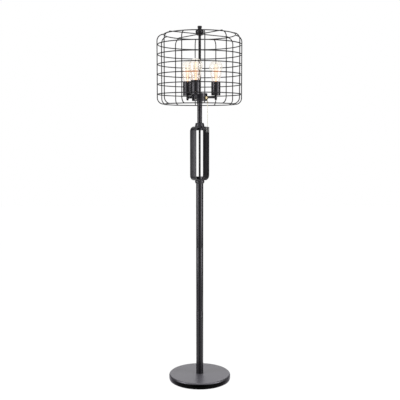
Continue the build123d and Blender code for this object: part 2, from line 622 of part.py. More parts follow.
for light, angle in zip(LIGHT_NAMES, light_angles):
    light_centre = around(angle, LIGHT_REACH)
    light_plane = Plane(origin=(*light_centre, 0), x_dir=(1, 0, 0), z_dir=(0, -1, 0))
    with BuildPart() as bulb_cap:
        turned(cap_outline, light_centre)
    save(bulb_cap, f"bulb_cap_{light}")

    with BuildPart() as bulb_glass:
        with BuildSketch(light_plane) as glass_section:
            with BuildLine():
                Polyline((0, bulb_top), (0, glass_foot), (BULB_NECK_RADIUS, glass_foot),
                         (BULB_NECK_RADIUS, neck_top), cone_end)
                ThreePointArc(cone_end, dome_point, (0, bulb_top))
            make_face()
            neck_corner = glass_section.vertices().sort_by_distance((BULB_NECK_RADIUS, neck_top))[0]
            fillet(neck_corner, BULB_NECK_BLEND)
        revolve(axis=Axis((*light_centre, 0), (0, 0, 1)))
        offset(amount=-GLASS_WALL, openings=bulb_glass.faces().sort_by(Axis.Z)[0])
    save(bulb_glass, f"bulb_glass_{light}")

    with BuildPart() as bulb_mount:
        turned(stem_outline, light_centre)
        for strand in range(FILAMENT_STRAND_COUNT):
            low_angle = 360 * strand / FILAMENT_STRAND_COUNT
            high_angle = low_angle + 180 / FILAMENT_STRAND_COUNT
            low = Vector(*around(low_angle, FILAMENT_FOOT_RADIUS), FILAMENT_FOOT_RISE + glass_foot)
            high = Vector(*around(high_angle, FILAMENT_HEAD_RADIUS), FILAMENT_HEAD_RISE + glass_foot)
            shift = Vector(*light_centre, 0)
            bar(Plane(origin=low + shift, z_dir=high - low), FILAMENT_WIRE_RADIUS, (high - low).length)
            for ring_point in (low, high):
                spoke = Vector(ring_point.X, ring_point.Y, 0)
                bar(Plane(origin=Vector(0, 0, ring_point.Z) + shift, z_dir=spoke), FILAMENT_WIRE_RADIUS,
                    spoke.length + FILAMENT_WIRE_RADIUS)
    save(bulb_mount, f"bulb_mount_{light}")

# ---------------------------------------------------------- pull-chain switch
case_foot = hub_foot + CASE_LIFT
case_floor = case_foot + CASE_WALL
case_end = CASE_START + CASE_LENGTH
tail_top = switch_height + BEAD_RADIUS
lever_foot = tail_top + REST_GAP
with BuildPart() as switch_case:
    with BuildSketch(level(SWITCH_ANGLE, case_foot)):
        with Locations(((CASE_START + case_end) / 2, 0)):
            Rectangle(CASE_LENGTH, CASE_WIDTH)
    extrude(amount=CASE_HEIGHT)
    offset(amount=-CASE_WALL, openings=switch_case.faces().sort_by(Axis.Z)[-1])
    with BuildSketch(level(SWITCH_ANGLE, case_floor)):
        with Locations((LEVER_PIVOT_REACH, LEVER_PIVOT_SIDE)):
            Circle(LEVER_RADIUS)
    extrude(amount=lever_foot - SLIP - case_floor)
    with BuildSketch(level(SWITCH_ANGLE, case_floor)):
        with Locations((LEVER_PIVOT_REACH, LEVER_PIVOT_SIDE)):
            Circle(LEVER_PIN_RADIUS)
    extrude(amount=lever_foot + LEVER_THICKNESS + LEVER_PIN_RISE - case_floor)
    bar(facing_out(SWITCH_ANGLE, case_end - CASE_WALL, switch_height), NOZZLE_RADIUS + SLIP, CASE_WALL,
        mode=Mode.SUBTRACT)
save(switch_case, "switch_case")

# The lever swings as far to each side of the tangent as the chain's half travel needs.
lever_lean = degrees(asin(PULL_TRAVEL / 2 / LEVER_LENGTH))
pivot_level = level(SWITCH_ANGLE, lever_foot)
pivot = pivot_level.from_local_coords((LEVER_PIVOT_REACH, LEVER_PIVOT_SIDE, 0))
lever_way = SWITCH_ANGLE + 90 + lever_lean
with BuildPart() as switch_lever:
    with BuildSketch(Plane(origin=pivot, x_dir=(*around(lever_way, 1), 0), z_dir=(0, 0, 1))):
        with Locations((LEVER_LENGTH / 2, 0)):
            SlotCenterToCenter(LEVER_LENGTH, 2 * LEVER_RADIUS)
        Circle(LEVER_PIN_RADIUS + THREAD_SLIP, mode=Mode.SUBTRACT)
    extrude(amount=LEVER_THICKNESS)
save(switch_lever, "switch_lever")

nozzle_start = case_end - NOZZLE_GRIP
lip_start = NOZZLE_REACH - NOZZLE_LIP_LENGTH
with BuildPart() as switch_nozzle:
    with BuildSketch(upright(SWITCH_ANGLE)):
        with BuildLine():
            Polyline((nozzle_start, switch_height + NOZZLE_BORE_RADIUS),
                     (nozzle_start, switch_height + NOZZLE_RADIUS),
                     (lip_start, switch_height + NOZZLE_RADIUS),
                     (NOZZLE_REACH, switch_height + NOZZLE_LIP_RADIUS),
                     (NOZZLE_REACH, switch_height + NOZZLE_BORE_RADIUS), close=True)
        make_face()
    revolve(axis=Axis((0, 0, switch_height), (*around(SWITCH_ANGLE, 1), 0)))
save(switch_nozzle, "switch_nozzle")

with BuildPart() as nozzle_nut:
    nut(facing_out(SWITCH_ANGLE, HUB_RADIUS, switch_height), NOZZLE_NUT_RADIUS, NOZZLE_RADIUS + THREAD_SLIP,
        NOZZLE_NUT_THICKNESS)
save(nozzle_nut, "nozzle_nut")

tail_start = LEVER_PIVOT_REACH - PULL_TRAVEL / 2
tail_plane = Plane(origin=(0, 0, switch_height), x_dir=(0, 0, 1), z_dir=(*around(SWITCH_ANGLE + 90, 1), 0))
with BuildPart() as chain_tail:
    bead_string(tail_plane, Axis((0, 0, switch_height), (*around(SWITCH_ANGLE, 1), 0)),
                tail_start + (TAIL_BEAD_COUNT - 1) * BEAD_PITCH, TAIL_BEAD_COUNT)
save(chain_tail, "chain_tail")

# The hanging chain passes just in front of the nozzle's lip.
chain_reach = NOZZLE_REACH + REST_GAP + BEAD_RADIUS
chain_centre = around(SWITCH_ANGLE, chain_reach)
chain_plane = Plane(origin=(*chain_centre, 0), x_dir=(1, 0, 0), z_dir=(0, -1, 0))
chain_axis = Axis((*chain_centre, 0), (0, 0, 1))
first_bead = switch_height - SWITCH_CHAIN_DROP
connector_top = first_bead - (SWITCH_CHAIN_BEAD_COUNT - 1) * BEAD_PITCH
connector_foot = connector_top - CONNECTOR_LENGTH
cavity_top = connector_foot + CONNECTOR_CAVITY_DEPTH
swing_height = cavity_top - REST_GAP - BEAD_RADIUS
with BuildPart() as switch_chain:
    bead_string(chain_plane, chain_axis, first_bead, SWITCH_CHAIN_BEAD_COUNT)
    turned([(0, cavity_top), (CONNECTOR_CAVITY_RADIUS, cavity_top), (CONNECTOR_CAVITY_RADIUS, connector_foot),
            (CONNECTOR_RADIUS, connector_foot), (CONNECTOR_RADIUS, connector_top - CONNECTOR_RADIUS),
            (BEAD_RADIUS, connector_top), (0, connector_top)], chain_centre)
save(switch_chain, "switch_chain")

with BuildPart() as pull_chain:
    bead_string(chain_plane, chain_axis, swing_height, PULL_CHAIN_BEAD_COUNT)
save(pull_chain, "pull_chain")

fob_top = swing_height - (PULL_CHAIN_BEAD_COUNT - 1) * BEAD_PITCH + FOB_BEAD_DEPTH
fob_foot = fob_top - FOB_LENGTH
fob_bore_radius = BEAD_RADIUS + REST_GAP
with BuildPart() as chain_fob:
    turned([(0, fob_foot), (FOB_RADIUS - FOB_EDGE, fob_foot), (FOB_RADIUS, fob_foot + FOB_EDGE),
            (FOB_RADIUS, fob_top - FOB_EDGE), (FOB_RADIUS - FOB_EDGE, fob_top), (fob_bore_radius, fob_top),
            (fob_bore_radius, fob_top - FOB_BORE_DEPTH), (0, fob_top - FOB_BORE_DEPTH)], chain_centre)
save(chain_fob, "chain_fob")

# -------------------------------------------------- centre rod, seat and finial
with BuildPart() as centre_rod:
    turned([(0, hub_top - ROD_STUD_DROP), (PIPE_RADIUS, hub_top - ROD_STUD_DROP), (PIPE_RADIUS, hub_top),
            (ROD_FLANGE_RADIUS, hub_top), (ROD_FLANGE_RADIUS, hub_top + ROD_FLANGE_THICKNESS),
            (ROD_RADIUS, hub_top + ROD_FLANGE_THICKNESS), (ROD_RADIUS, seat_foot),
            (FINIAL_STUD_RADIUS, seat_foot), (FINIAL_STUD_RADIUS, seat_foot + FINIAL_STUD_LENGTH),
            (0, seat_foot + FINIAL_STUD_LENGTH)])
save(centre_rod, "centre_rod")

stud_hole_radius = FINIAL_STUD_RADIUS + THREAD_SLIP
with BuildPart() as cage_seat:
    turned([(stud_hole_radius, seat_foot), (SEAT_FOOT_RADIUS, seat_foot),
            (SEAT_RADIUS, seat_foot + SEAT_THICKNESS / 2), (SEAT_RADIUS, spider_foot),
            (stud_hole_radius, spider_foot)])
save(cage_seat, "cage_seat")

ball_centre = finial_foot + FINIAL_BALL_RISE
ball_foot_radius = sqrt(FINIAL_BALL_RADIUS**2 - FINIAL_BALL_RISE**2)
shoulder_height = ball_centre + sqrt(FINIAL_BALL_RADIUS**2 - FINIAL_SHOULDER_RADIUS**2)
finial_top = finial_foot + FINIAL_HEIGHT
waist_height = finial_foot + FINIAL_WAIST_RISE
cap_foot = finial_top - FINIAL_CAP_HEIGHT
neck_hollow = ((FINIAL_SHOULDER_RADIUS + 3 * FINIAL_WAIST_RADIUS) / 4,
               (3 * shoulder_height + waist_height) / 4)
with BuildPart() as finial:
    with BuildSketch(Plane.XZ):
        with BuildLine():
            ThreePointArc((ball_foot_radius, finial_foot), (FINIAL_BALL_RADIUS, ball_centre),
                          (FINIAL_SHOULDER_RADIUS, shoulder_height))
            ThreePointArc((FINIAL_SHOULDER_RADIUS, shoulder_height), neck_hollow,
                          (FINIAL_WAIST_RADIUS, waist_height))
            Polyline((FINIAL_WAIST_RADIUS, waist_height), (FINIAL_CAP_RADIUS, cap_foot),
                     (FINIAL_CAP_RADIUS, finial_top - FINIAL_CAP_EDGE),
                     (FINIAL_CAP_RADIUS - FINIAL_CAP_EDGE, finial_top), (0, finial_top),
                     (0, finial_foot + FINIAL_BORE_DEPTH),
                     (stud_hole_radius, finial_foot + FINIAL_BORE_DEPTH),
                     (stud_hole_radius, finial_foot), (ball_foot_radius, finial_foot))
        make_face()
    revolve(axis=Axis.Z)
save(finial, "finial")

# ------------------------------------------------------------------------ cage
with BuildPart() as cage_end_rings:
    wire_ring(TOP_RING_RADIUS, CAGE_TOP)
    wire_ring(BOTTOM_RING_RADIUS, cage_bottom)
save(cage_end_rings, "cage_end_rings")

with BuildPart() as cage_hoops:
    for hoop in range(HOOP_COUNT):
        wire_ring(hoop_radius, CAGE_TOP - (hoop + 1) * ring_step)
save(cage_hoops, "cage_hoops")

# Each upright wire runs straight and turns in through a quarter circle to each end ring.
top_turn = CAGE_RADIUS - TOP_RING_RADIUS
bottom_turn = CAGE_RADIUS - BOTTOM_RING_RADIUS
with BuildPart() as cage_ribs:
    for rib in range(RIB_COUNT):
        rib_plane = upright(RIB_ANGLE + rib * 360 / RIB_COUNT)
        with BuildLine(rib_plane) as rib_path:
            CenterArc((TOP_RING_RADIUS, CAGE_TOP - top_turn), top_turn, 90, -90)
            Line((CAGE_RADIUS, CAGE_TOP - top_turn), (CAGE_RADIUS, cage_bottom + bottom_turn))
            CenterArc((BOTTOM_RING_RADIUS, cage_bottom + bottom_turn), bottom_turn, 0, -90)
        with BuildSketch(facing_out(RIB_ANGLE + rib * 360 / RIB_COUNT, TOP_RING_RADIUS, CAGE_TOP)):
            Circle(WIRE_RADIUS)
        sweep(path=rib_path.wires()[0])
save(cage_ribs, "cage_ribs")

with BuildPart() as cage_spider:
    tube(SPIDER_HUB_RADIUS, SPIDER_HUB_BORE_RADIUS, spider_foot, spider_top)
    spider_start = SPIDER_HUB_RADIUS - WIRE_RADIUS
    for spoke in range(SPIDER_ARM_COUNT):
        spoke_angle = SPIDER_ANGLE + spoke * 360 / SPIDER_ARM_COUNT
        bar(facing_out(spoke_angle, spider_start, spider_height), WIRE_RADIUS,
            TOP_RING_RADIUS + WIRE_RADIUS - spider_start)
save(cage_spider, "cage_spider")
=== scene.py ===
"""Wire cage floor lamp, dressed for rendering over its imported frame.

Lengths are millimetres in the lamp's own frame: +Z is up, -Y is the front, and the
origin is the centre of the base on the floor. Angles are degrees about Z, from +X
towards +Y. A mesh is turned into metres when its piece is finished.
"""
import logging
from dataclasses import dataclass, field
from enum import Enum
from math import acos, atan2, ceil, cos, degrees, hypot, pi, radians, sin, sqrt, tan
from typing import Any, Iterable, Sequence

import bmesh
import bpy
from mathutils import Matrix, Vector


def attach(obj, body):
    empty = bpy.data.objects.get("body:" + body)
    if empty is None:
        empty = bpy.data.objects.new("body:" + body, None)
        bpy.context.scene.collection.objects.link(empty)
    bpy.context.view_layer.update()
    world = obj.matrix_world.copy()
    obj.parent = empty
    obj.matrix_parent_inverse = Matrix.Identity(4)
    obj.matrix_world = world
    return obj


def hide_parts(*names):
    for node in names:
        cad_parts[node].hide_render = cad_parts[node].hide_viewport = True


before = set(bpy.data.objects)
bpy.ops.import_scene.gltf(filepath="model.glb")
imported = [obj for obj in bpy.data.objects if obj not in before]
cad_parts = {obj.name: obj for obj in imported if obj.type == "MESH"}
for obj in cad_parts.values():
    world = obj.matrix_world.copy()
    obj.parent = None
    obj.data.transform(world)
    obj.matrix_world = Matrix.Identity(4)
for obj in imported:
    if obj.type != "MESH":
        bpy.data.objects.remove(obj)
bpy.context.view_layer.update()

LOG = logging.getLogger("floor_lamp")
MM = 0.001

Colour = tuple[float, float, float]
Corner = tuple[float, ...]
Point2 = tuple[float, float]
Point3 = tuple[float, float, float]
Path3 = Sequence[Sequence[float]]
Node = bpy.types.Node
Socket = bpy.types.NodeSocket


class Body(Enum):
    """The bodies of the frame that a piece can ride on."""

    STAND = "stand"
    CAGE = "cage"
    FINIAL = "finial"
    SWITCH_CHAIN = "switch_chain"
    HANGING_CHAIN = "hanging_chain"
    BULB_FRONT = "bulb_front"
    BULB_RIGHT = "bulb_right"
    BULB_LEFT = "bulb_left"


# ---------------- node trees
class Graph:
    """A thin hand for building a node tree."""

    def __init__(self, tree: bpy.types.NodeTree) -> None:
        """Hold the tree that is being built."""
        self.tree = tree

    def add(self, kind: str, inputs: dict[str, Any] | None = None, **settings: Any) -> Node:
        """Add a node.

        Args:
            kind: The node's type name.
            inputs: Values, or sockets to link, by input name.
            **settings: Properties of the node.

        Returns:
            The new node.
        """
        node = self.tree.nodes.new(kind)
        for name, value in settings.items():
            setattr(node, name, value)
        self.fill(node, inputs or {})
        return node

    def fill(self, node: Node, inputs: dict[str, Any]) -> None:
        """Feed several inputs of a node, by name."""
        for name, value in inputs.items():
            self.feed(node.inputs[name], value)

    def feed(self, socket: Socket, value: Any) -> None:
        """Link a socket to another one, or set its value.

        Args:
            socket: The input socket.
            value: An output socket, or a plain value.
        """
        if isinstance(value, Socket):
            self.tree.links.new(value, socket)
        else:
            socket.default_value = value

    def math(self, operation: str, first: Any, second: Any = 0.0,
             third: Any = 0.0) -> Socket:
        """Add a Math node.

        Args:
            operation: The node's operation.
            first: Its first value or socket.
            second: Its second value or socket.
            third: Its third value or socket.

        Returns:
            The node's output.
        """
        node = self.tree.nodes.new("ShaderNodeMath")
        node.operation = operation
        for socket, value in zip(node.inputs, (first, second, third)):
            self.feed(socket, value)
        return node.outputs[0]

    def spread(self, value: Any, low: float, high: float, start: float = 0.0,
               end: float = 1.0) -> Socket:
        """Map a value from one range onto another.

        Args:
            value: The value or socket.
            low: The result at the start of the range.
            high: The result at the end of the range.
            start: The start of the range that is read.
            end: The end of the range that is read.

        Returns:
            The mapped value.
        """
        inputs = {"Value": value, "From Min": start, "From Max": end, "To Min": low, "To Max": high}
        return self.add("ShaderNodeMapRange", inputs).outputs["Result"]

    def window(self, value: Any, low: float, high: float, soft: float) -> Socket:
        """Build a soft-edged window over a value.

        Args:
            value: The value or socket.
            low: Where the window opens.
            high: Where it is closed.
            soft: The length over which each edge fades.

        Returns:
            1 inside the window and 0 outside it.
        """
        opens = self.spread(value, 0.0, 1.0, low, low + soft)
        closes = self.spread(value, 1.0, 0.0, high - soft, high)
        return self.math("MULTIPLY", opens, closes)

    def blend(self, factor: Any, first: Any, second: Any) -> Socket:
        """Mix two colours.

        Args:
            factor: How much of the second colour shows.
            first: A colour or a socket.
            second: A colour or a socket.

        Returns:
            The mixed colour.
        """
        node = self.tree.nodes.new("ShaderNodeMix")
        node.data_type = "RGBA"
        self.feed(node.inputs["Factor"], factor)
        for socket, value in zip((node.inputs[6], node.inputs[7]), (first, second)):
            self.feed(socket, value if isinstance(value, Socket) else (*value, 1.0))
        return node.outputs[2]

    def noise(self, vector: Any, scale: Any, detail: float, roughness: float = 0.5) -> Any:
        """Add a noise texture.

        Args:
            vector: The place that it reads.
            scale: How fine it is.
            detail: How many finer layers it has.
            roughness: How strong each finer layer is.

        Returns:
            The node's outputs.
        """
        inputs = {"Vector": vector, "Scale": scale, "Detail": detail, "Roughness": roughness}
        return self.add("ShaderNodeTexNoise", inputs).outputs

    def group(self, tree: bpy.types.NodeTree, inputs: dict[str, Any]) -> Any:
        """Place a shared shader group.

        Args:
            tree: The group's tree.
            inputs: Values, or sockets to link, by input name.

        Returns:
            The node's outputs.
        """
        return self.add("ShaderNodeGroup", inputs, node_tree=tree).outputs

    def height(self, place: Socket) -> Socket:
        """Read how high a place lies, in metres."""
        return self.add("ShaderNodeSeparateXYZ", {"Vector": place}).outputs["Z"]


class SurfaceGroups:
    """The shader node groups that the finishes share, each built once."""

    SPECK_SHARE = 0.35
    PATCH_SPAN = (0.3, 0.7)
    EDGE_SPAN = (0.86, 0.995)
    BREAKUP_SPAN = (0.42, 0.62)
    TARNISH_SCALE = 60.0
    TARNISH_SPAN = (0.35, 0.7)

    def __init__(self) -> None:
        """Start with no group built."""
        self.built: dict[str, bpy.types.NodeTree] = {}

    def start(self, name: str, inputs: dict[str, float],
              outputs: Sequence[str]) -> tuple[Graph, Any, Any]:
        """Make an empty group with its sockets.

        Args:
            name: The group's name.
            inputs: The float inputs and their defaults. Each group also has a Vector input.
            outputs: The float outputs.

        Returns:
            The graph, the sockets that it is given and the sockets that it fills.
        """
        tree = bpy.data.node_groups.new(name, "ShaderNodeTree")
        tree.interface.new_socket("Vector", in_out="INPUT", socket_type="NodeSocketVector")
        for label, value in inputs.items():
            socket = tree.interface.new_socket(label, in_out="INPUT", socket_type="NodeSocketFloat")
            socket.default_value = value
        for label in outputs:
            tree.interface.new_socket(label, in_out="OUTPUT", socket_type="NodeSocketFloat")
        graph = Graph(tree)
        self.built[name] = tree
        return graph, graph.add("NodeGroupInput").outputs, graph.add("NodeGroupOutput").inputs

    def coat_texture(self) -> bpy.types.NodeTree:
        """Build or fetch the sprayed coat: fine orange peel, and broad uneven patches."""
        if "coat texture" not in self.built:
            graph, given, made = self.start("coat texture", {"Peel": 900.0, "Patch": 14.0},
                                            ("Height", "Patches"))
            peel = graph.noise(given["Vector"], given["Peel"], 2.0)
            specks = graph.add("ShaderNodeTexVoronoi", {"Vector": given["Vector"],
                                                        "Scale": given["Peel"]}).outputs
            patch = graph.noise(given["Vector"], given["Patch"], 5.0, 0.62)
            height = graph.math("MULTIPLY_ADD", specks["Distance"], self.SPECK_SHARE, peel["Fac"])
            graph.feed(made["Height"], height)
            graph.feed(made["Patches"], graph.spread(patch["Fac"], 0.0, 1.0, *self.PATCH_SPAN))
        return self.built["coat texture"]

    def edge_wear(self) -> bpy.types.NodeTree:
        """Build or fetch the mask of edges where handling has polished or thinned the finish."""
        if "edge wear" not in self.built:
            graph, given, made = self.start("edge wear", {"Reach": 0.0008, "Breakup": 160.0}, ("Mask",))
            bevel = graph.add("ShaderNodeBevel", {"Radius": given["Reach"]}, samples=4)
            geometry = graph.add("ShaderNodeNewGeometry")
            facing = graph.add("ShaderNodeVectorMath", operation="DOT_PRODUCT")
            graph.feed(facing.inputs[0], bevel.outputs["Normal"])
            graph.feed(facing.inputs[1], geometry.outputs["Normal"])
            turn = graph.spread(facing.outputs["Value"], 1.0, 0.0, *self.EDGE_SPAN)
            noise = graph.noise(given["Vector"], given["Breakup"], 4.0)
            broken = graph.spread(noise["Fac"], 0.0, 1.0, *self.BREAKUP_SPAN)
            graph.feed(made["Mask"], graph.math("MULTIPLY", turn, broken))
        return self.built["edge wear"]

    def tool_marks(self) -> bpy.types.NodeTree:
        """Build or fetch fine parallel marks across the group's stretched vector."""
        if "tool marks" not in self.built:
            graph, given, made = self.start("tool marks", {"Fineness": 2200.0}, ("Height", "Tarnish"))
            marks = graph.noise(given["Vector"], given["Fineness"], 3.0)
            tarnish = graph.noise(given["Vector"], self.TARNISH_SCALE, 6.0, 0.7)
            graph.feed(made["Height"], marks["Fac"])
            graph.feed(made["Tarnish"], graph.spread(tarnish["Fac"], 0.0, 1.0, *self.TARNISH_SPAN))
        return self.built["tool marks"]


GROUPS = SurfaceGroups()


# ---------------- finishes
@dataclass(frozen=True)
class Finish:
    """What the finishes share: a name, a colour and a roughness."""

    name: str
    colour: Colour
    roughness: float

    def material(self) -> bpy.types.Material:
        """Build the finish's material, or fetch it if it is built."""
        ready = bpy.data.materials.get(self.name)
        if ready:
            return ready
        material = bpy.data.materials.new(self.name)
        material.use_nodes = True
        material.node_tree.nodes.clear()
        material.diffuse_color = (*self.colour, 1.0)
        graph = Graph(material.node_tree)
        shader = graph.add("ShaderNodeBsdfPrincipled", {"Base Color": (*self.colour, 1.0),
                                                        "Roughness": self.roughness})
        output = graph.add("ShaderNodeOutputMaterial")
        graph.feed(output.inputs["Surface"], shader.outputs["BSDF"])
        place = graph.add("ShaderNodeTexCoord").outputs["Object"]
        self.dress(graph, shader, place)
        return material

    def dress(self, graph: Graph, shader: Node, place: Socket) -> None:
        """Add the finish's own nodes. A plain finish has none.

        Args:
            graph: The material's graph.
            shader: Its Principled BSDF.
            place: The surface's place, in metres.
        """

    @staticmethod
    def emboss(graph: Graph, shader: Node, height: Socket, depth: float,
               strength: float = 1.0) -> None:
        """Turn a height into a bump.

        Args:
            graph: The material's graph.
            shader: Its Principled BSDF.
            height: The height, from 0 to 1.
            depth: The depth of the relief in millimetres.
            strength: How strongly it shows.
        """
        bump = graph.add("ShaderNodeBump", {"Height": height, "Strength": strength, "Distance": depth * MM})
        graph.feed(shader.inputs["Normal"], bump.outputs["Normal"])


@dataclass(frozen=True)
class Enamel(Finish):
    """Satin sprayed enamel over steel, thinned a little along its edges."""

    worn: Colour = (0.16, 0.155, 0.15)
    peel: float = 900.0
    peel_depth: float = 0.03
    patch: float = 14.0
    uneven: float = 0.35
    wear: float = 0.5
    edge: float = 0.8
    gloss: float = 0.5
    gloss_change: Point2 = (-0.05, 0.06)
    polish: float = 0.12
    gloss_tint: Colour = (0.96, 0.93, 1.0)

    def dress(self, graph: Graph, shader: Node, place: Socket) -> None:
        """Add orange peel, uneven gloss and worn edges."""
        coat = graph.group(GROUPS.coat_texture(),
                           {"Vector": place, "Peel": self.peel, "Patch": self.patch})
        edges = graph.group(GROUPS.edge_wear(), {"Vector": place, "Reach": self.edge * MM})
        patches = coat["Patches"]
        deep = tuple(channel * (1 - self.uneven) for channel in self.colour)
        light = tuple(channel * (1 + self.uneven) for channel in self.colour)
        worn = graph.math("MULTIPLY", edges["Mask"], self.wear)
        painted = graph.blend(patches, deep, light)
        dullness = graph.spread(patches, *(self.roughness + change for change in self.gloss_change))
        polished = graph.math("MULTIPLY", worn, self.polish)
        graph.fill(shader, {"Base Color": graph.blend(worn, painted, self.worn),
                            "Roughness": graph.math("SUBTRACT", dullness, polished),
                            "Specular IOR Level": self.gloss,
                            "Specular Tint": (*self.gloss_tint, 1.0)})
        self.emboss(graph, shader, coat["Height"], self.peel_depth)


@dataclass(frozen=True)
class ShadedEnamel(Enamel):
    """Enamel with painted shade: darker and deader on the side of a piece, below a height, standing in for
    the floor's shadow and its dark reflection.
    """

    painted_shade_colour: Colour = (0.004, 0.004, 0.004)
    span: Point2 = (0.0212, 0.0284)

    def dress(self, graph: Graph, shader: Node, place: Socket) -> None:
        """Add the enamel's relief, and paint shade on its colour and its reflection towards the floor."""
        super().dress(graph, shader, place)
        painted = shader.inputs["Base Color"].links[0].from_socket
        # painted shade: below the span the colour falls to near black and Metallic kills the reflection
        rise = graph.spread(graph.height(place), 0.0, 1.0, *self.span)
        graph.fill(shader, {"Base Color": graph.blend(rise, self.painted_shade_colour, painted),
                            "Metallic": graph.math("SUBTRACT", 1.0, rise)})


@dataclass(frozen=True)
class StrapEnamel(Enamel):
    """Enamel on the loop of strap, with painted shade: duller and darker on the inside, where the near bar
    shades the far one.
    """

    inner_painted_shade: Colour = (0.005, 0.0048, 0.0055)
    # how far Metallic kills the reflection under the painted inner shade
    dullness: float = 0.6
    angle: float = 45.0
    faces: Point2 = (0.0375, 0.0405)
    heights: Point2 = (0.904, 1.114)
    soft: float = 0.012

    def dress(self, graph: Graph, shader: Node, place: Socket) -> None:
        """Add the enamel's relief, and paint shade on the inner faces of the two upright bars."""
        super().dress(graph, shader, place)
        painted = shader.inputs["Base Color"].links[0].from_socket
        axes = graph.add("ShaderNodeSeparateXYZ", {"Vector": place}).outputs
        x, y = (graph.math("MULTIPLY", axes[name], turn) for name, turn in
                (("X", cos(radians(self.angle))), ("Y", sin(radians(self.angle)))))
        # painted shade: the inner faces of the upright bars go dark, where the near bar shades the far one
        reach = graph.math("ABSOLUTE", graph.math("ADD", x, y))
        upright = graph.window(axes["Z"], *self.heights, self.soft)
        inner = graph.math("MULTIPLY", graph.spread(reach, 1.0, 0.0, *self.faces), upright)
        graph.fill(shader, {"Base Color": graph.blend(inner, painted, self.inner_painted_shade),
                            "Metallic": graph.math("MULTIPLY", inner, self.dullness)})


@dataclass(frozen=True)
class LampLitEnamel(Enamel):
    """Enamel on the wires, with the bulbs' glare painted as a glow on the wire that crosses in front of them.
    """

    glare: Colour = (1.0, 0.27, 0.03)
    level: float = 0.45
    sides: tuple[Point2, ...] = ((-0.068, 0.002), (0.049, 0.088))
    heights: Point2 = (1.335, 1.372)
    front: float = -0.13
    soft: float = 0.012

    def dress(self, graph: Graph, shader: Node, place: Socket) -> None:
        """Add the enamel's relief and the painted glare."""
        super().dress(graph, shader, place)
        axes = graph.add("ShaderNodeSeparateXYZ", {"Vector": place}).outputs
        across = [graph.window(axes["X"], *side, self.soft) for side in self.sides]
        sides = graph.math("ADD", *across)
        mask = graph.math("MULTIPLY", sides, graph.window(axes["Z"], *self.heights, self.soft))
        ahead = graph.spread(axes["Y"], 1.0, 0.0, self.front - self.soft, self.front)
        shown = graph.math("MULTIPLY", mask, ahead)
        # painted glare: an orange glow on the front hoop where it crosses the bulbs
        graph.fill(shader, {"Emission Color": graph.blend(shown, (0.0, 0.0, 0.0), self.glare),
                            "Emission Strength": self.level})


@dataclass(frozen=True)
class WorkedMetal(Finish):
    """Bare or plated metal with the marks of turning round its axis, and a little tarnish."""

    tarnish: Colour = (0.3, 0.26, 0.2)
    stretch: Point3 = (0.06, 0.06, 1.0)
    fineness: float = 2200.0
    depth: float = 0.01
    aged: float = 0.4
    edge: float = 0.4
    bright: float = 1.15
    dulled: float = 0.22

    def dress(self, graph: Graph, shader: Node, place: Socket) -> None:
        """Add tool marks, tarnish and bright edges."""
        lie = graph.add("ShaderNodeMapping", {"Vector": place, "Scale": self.stretch}).outputs["Vector"]
        marks = graph.group(GROUPS.tool_marks(), {"Vector": lie, "Fineness": self.fineness})
        edges = graph.group(GROUPS.edge_wear(), {"Vector": place, "Reach": self.edge * MM})
        aged = graph.math("MULTIPLY", marks["Tarnish"], self.aged)
        bright = tuple(min(1.0, channel * self.bright) for channel in self.colour)
        toned = graph.blend(aged, self.colour, self.tarnish)
        graph.fill(shader, {"Base Color": graph.blend(edges["Mask"], toned, bright), "Metallic": 1.0,
                            "Roughness": graph.spread(aged, self.roughness, self.roughness + self.dulled)})
        self.emboss(graph, shader, marks["Height"], self.depth)


@dataclass(frozen=True)
class Moulding(Finish):
    """Moulded plastic or glazed ceramic."""

    speck: float = 700.0
    patch: float = 45.0
    depth: float = 0.015
    coat: float = 0.0
    dusty: Point2 = (1.5, 0.01)
    dust: float = 0.5
    dulled: float = 0.1
    polish: float = 0.15

    def dress(self, graph: Graph, shader: Node, place: Socket) -> None:
        """Add a fine moulded texture, dusty patches and polished edges."""
        coat = graph.group(GROUPS.coat_texture(),
                           {"Vector": place, "Peel": self.speck, "Patch": self.patch})
        edges = graph.group(GROUPS.edge_wear(), {"Vector": place})
        dusty = tuple(channel * self.dusty[0] + self.dusty[1] for channel in self.colour)
        dust = graph.math("MULTIPLY", coat["Patches"], self.dust)
        dullness = graph.spread(coat["Patches"], self.roughness, self.roughness + self.dulled)
        polished = graph.math("MULTIPLY", edges["Mask"], self.polish)
        graph.fill(shader, {"Base Color": graph.blend(dust, self.colour, dusty),
                            "Roughness": graph.math("SUBTRACT", dullness, polished),
                            "Coat Weight": self.coat})
        self.emboss(graph, shader, coat["Height"], self.depth)


@dataclass(frozen=True)
class RoughCasting(Finish):
    """Unfinished cast iron, with sand marks and a film of rust."""

    rust: Colour = (0.14, 0.07, 0.035)
    sand: float = 420.0
    patch: float = 30.0
    rusted: float = 0.45
    dullness: Point2 = (0.6, 0.85)
    metal: float = 0.6
    depth: float = 0.4

    def dress(self, graph: Graph, shader: Node, place: Socket) -> None:
        """Add sand marks and rust."""
        coat = graph.group(GROUPS.coat_texture(),
                           {"Vector": place, "Peel": self.sand, "Patch": self.patch})
        rusty = graph.math("MULTIPLY", coat["Patches"], self.rusted)
        graph.fill(shader, {"Base Color": graph.blend(rusty, self.colour, self.rust),
                            "Roughness": graph.spread(coat["Patches"], *self.dullness),
                            "Metallic": self.metal})
        self.emboss(graph, shader, coat["Height"], self.depth)


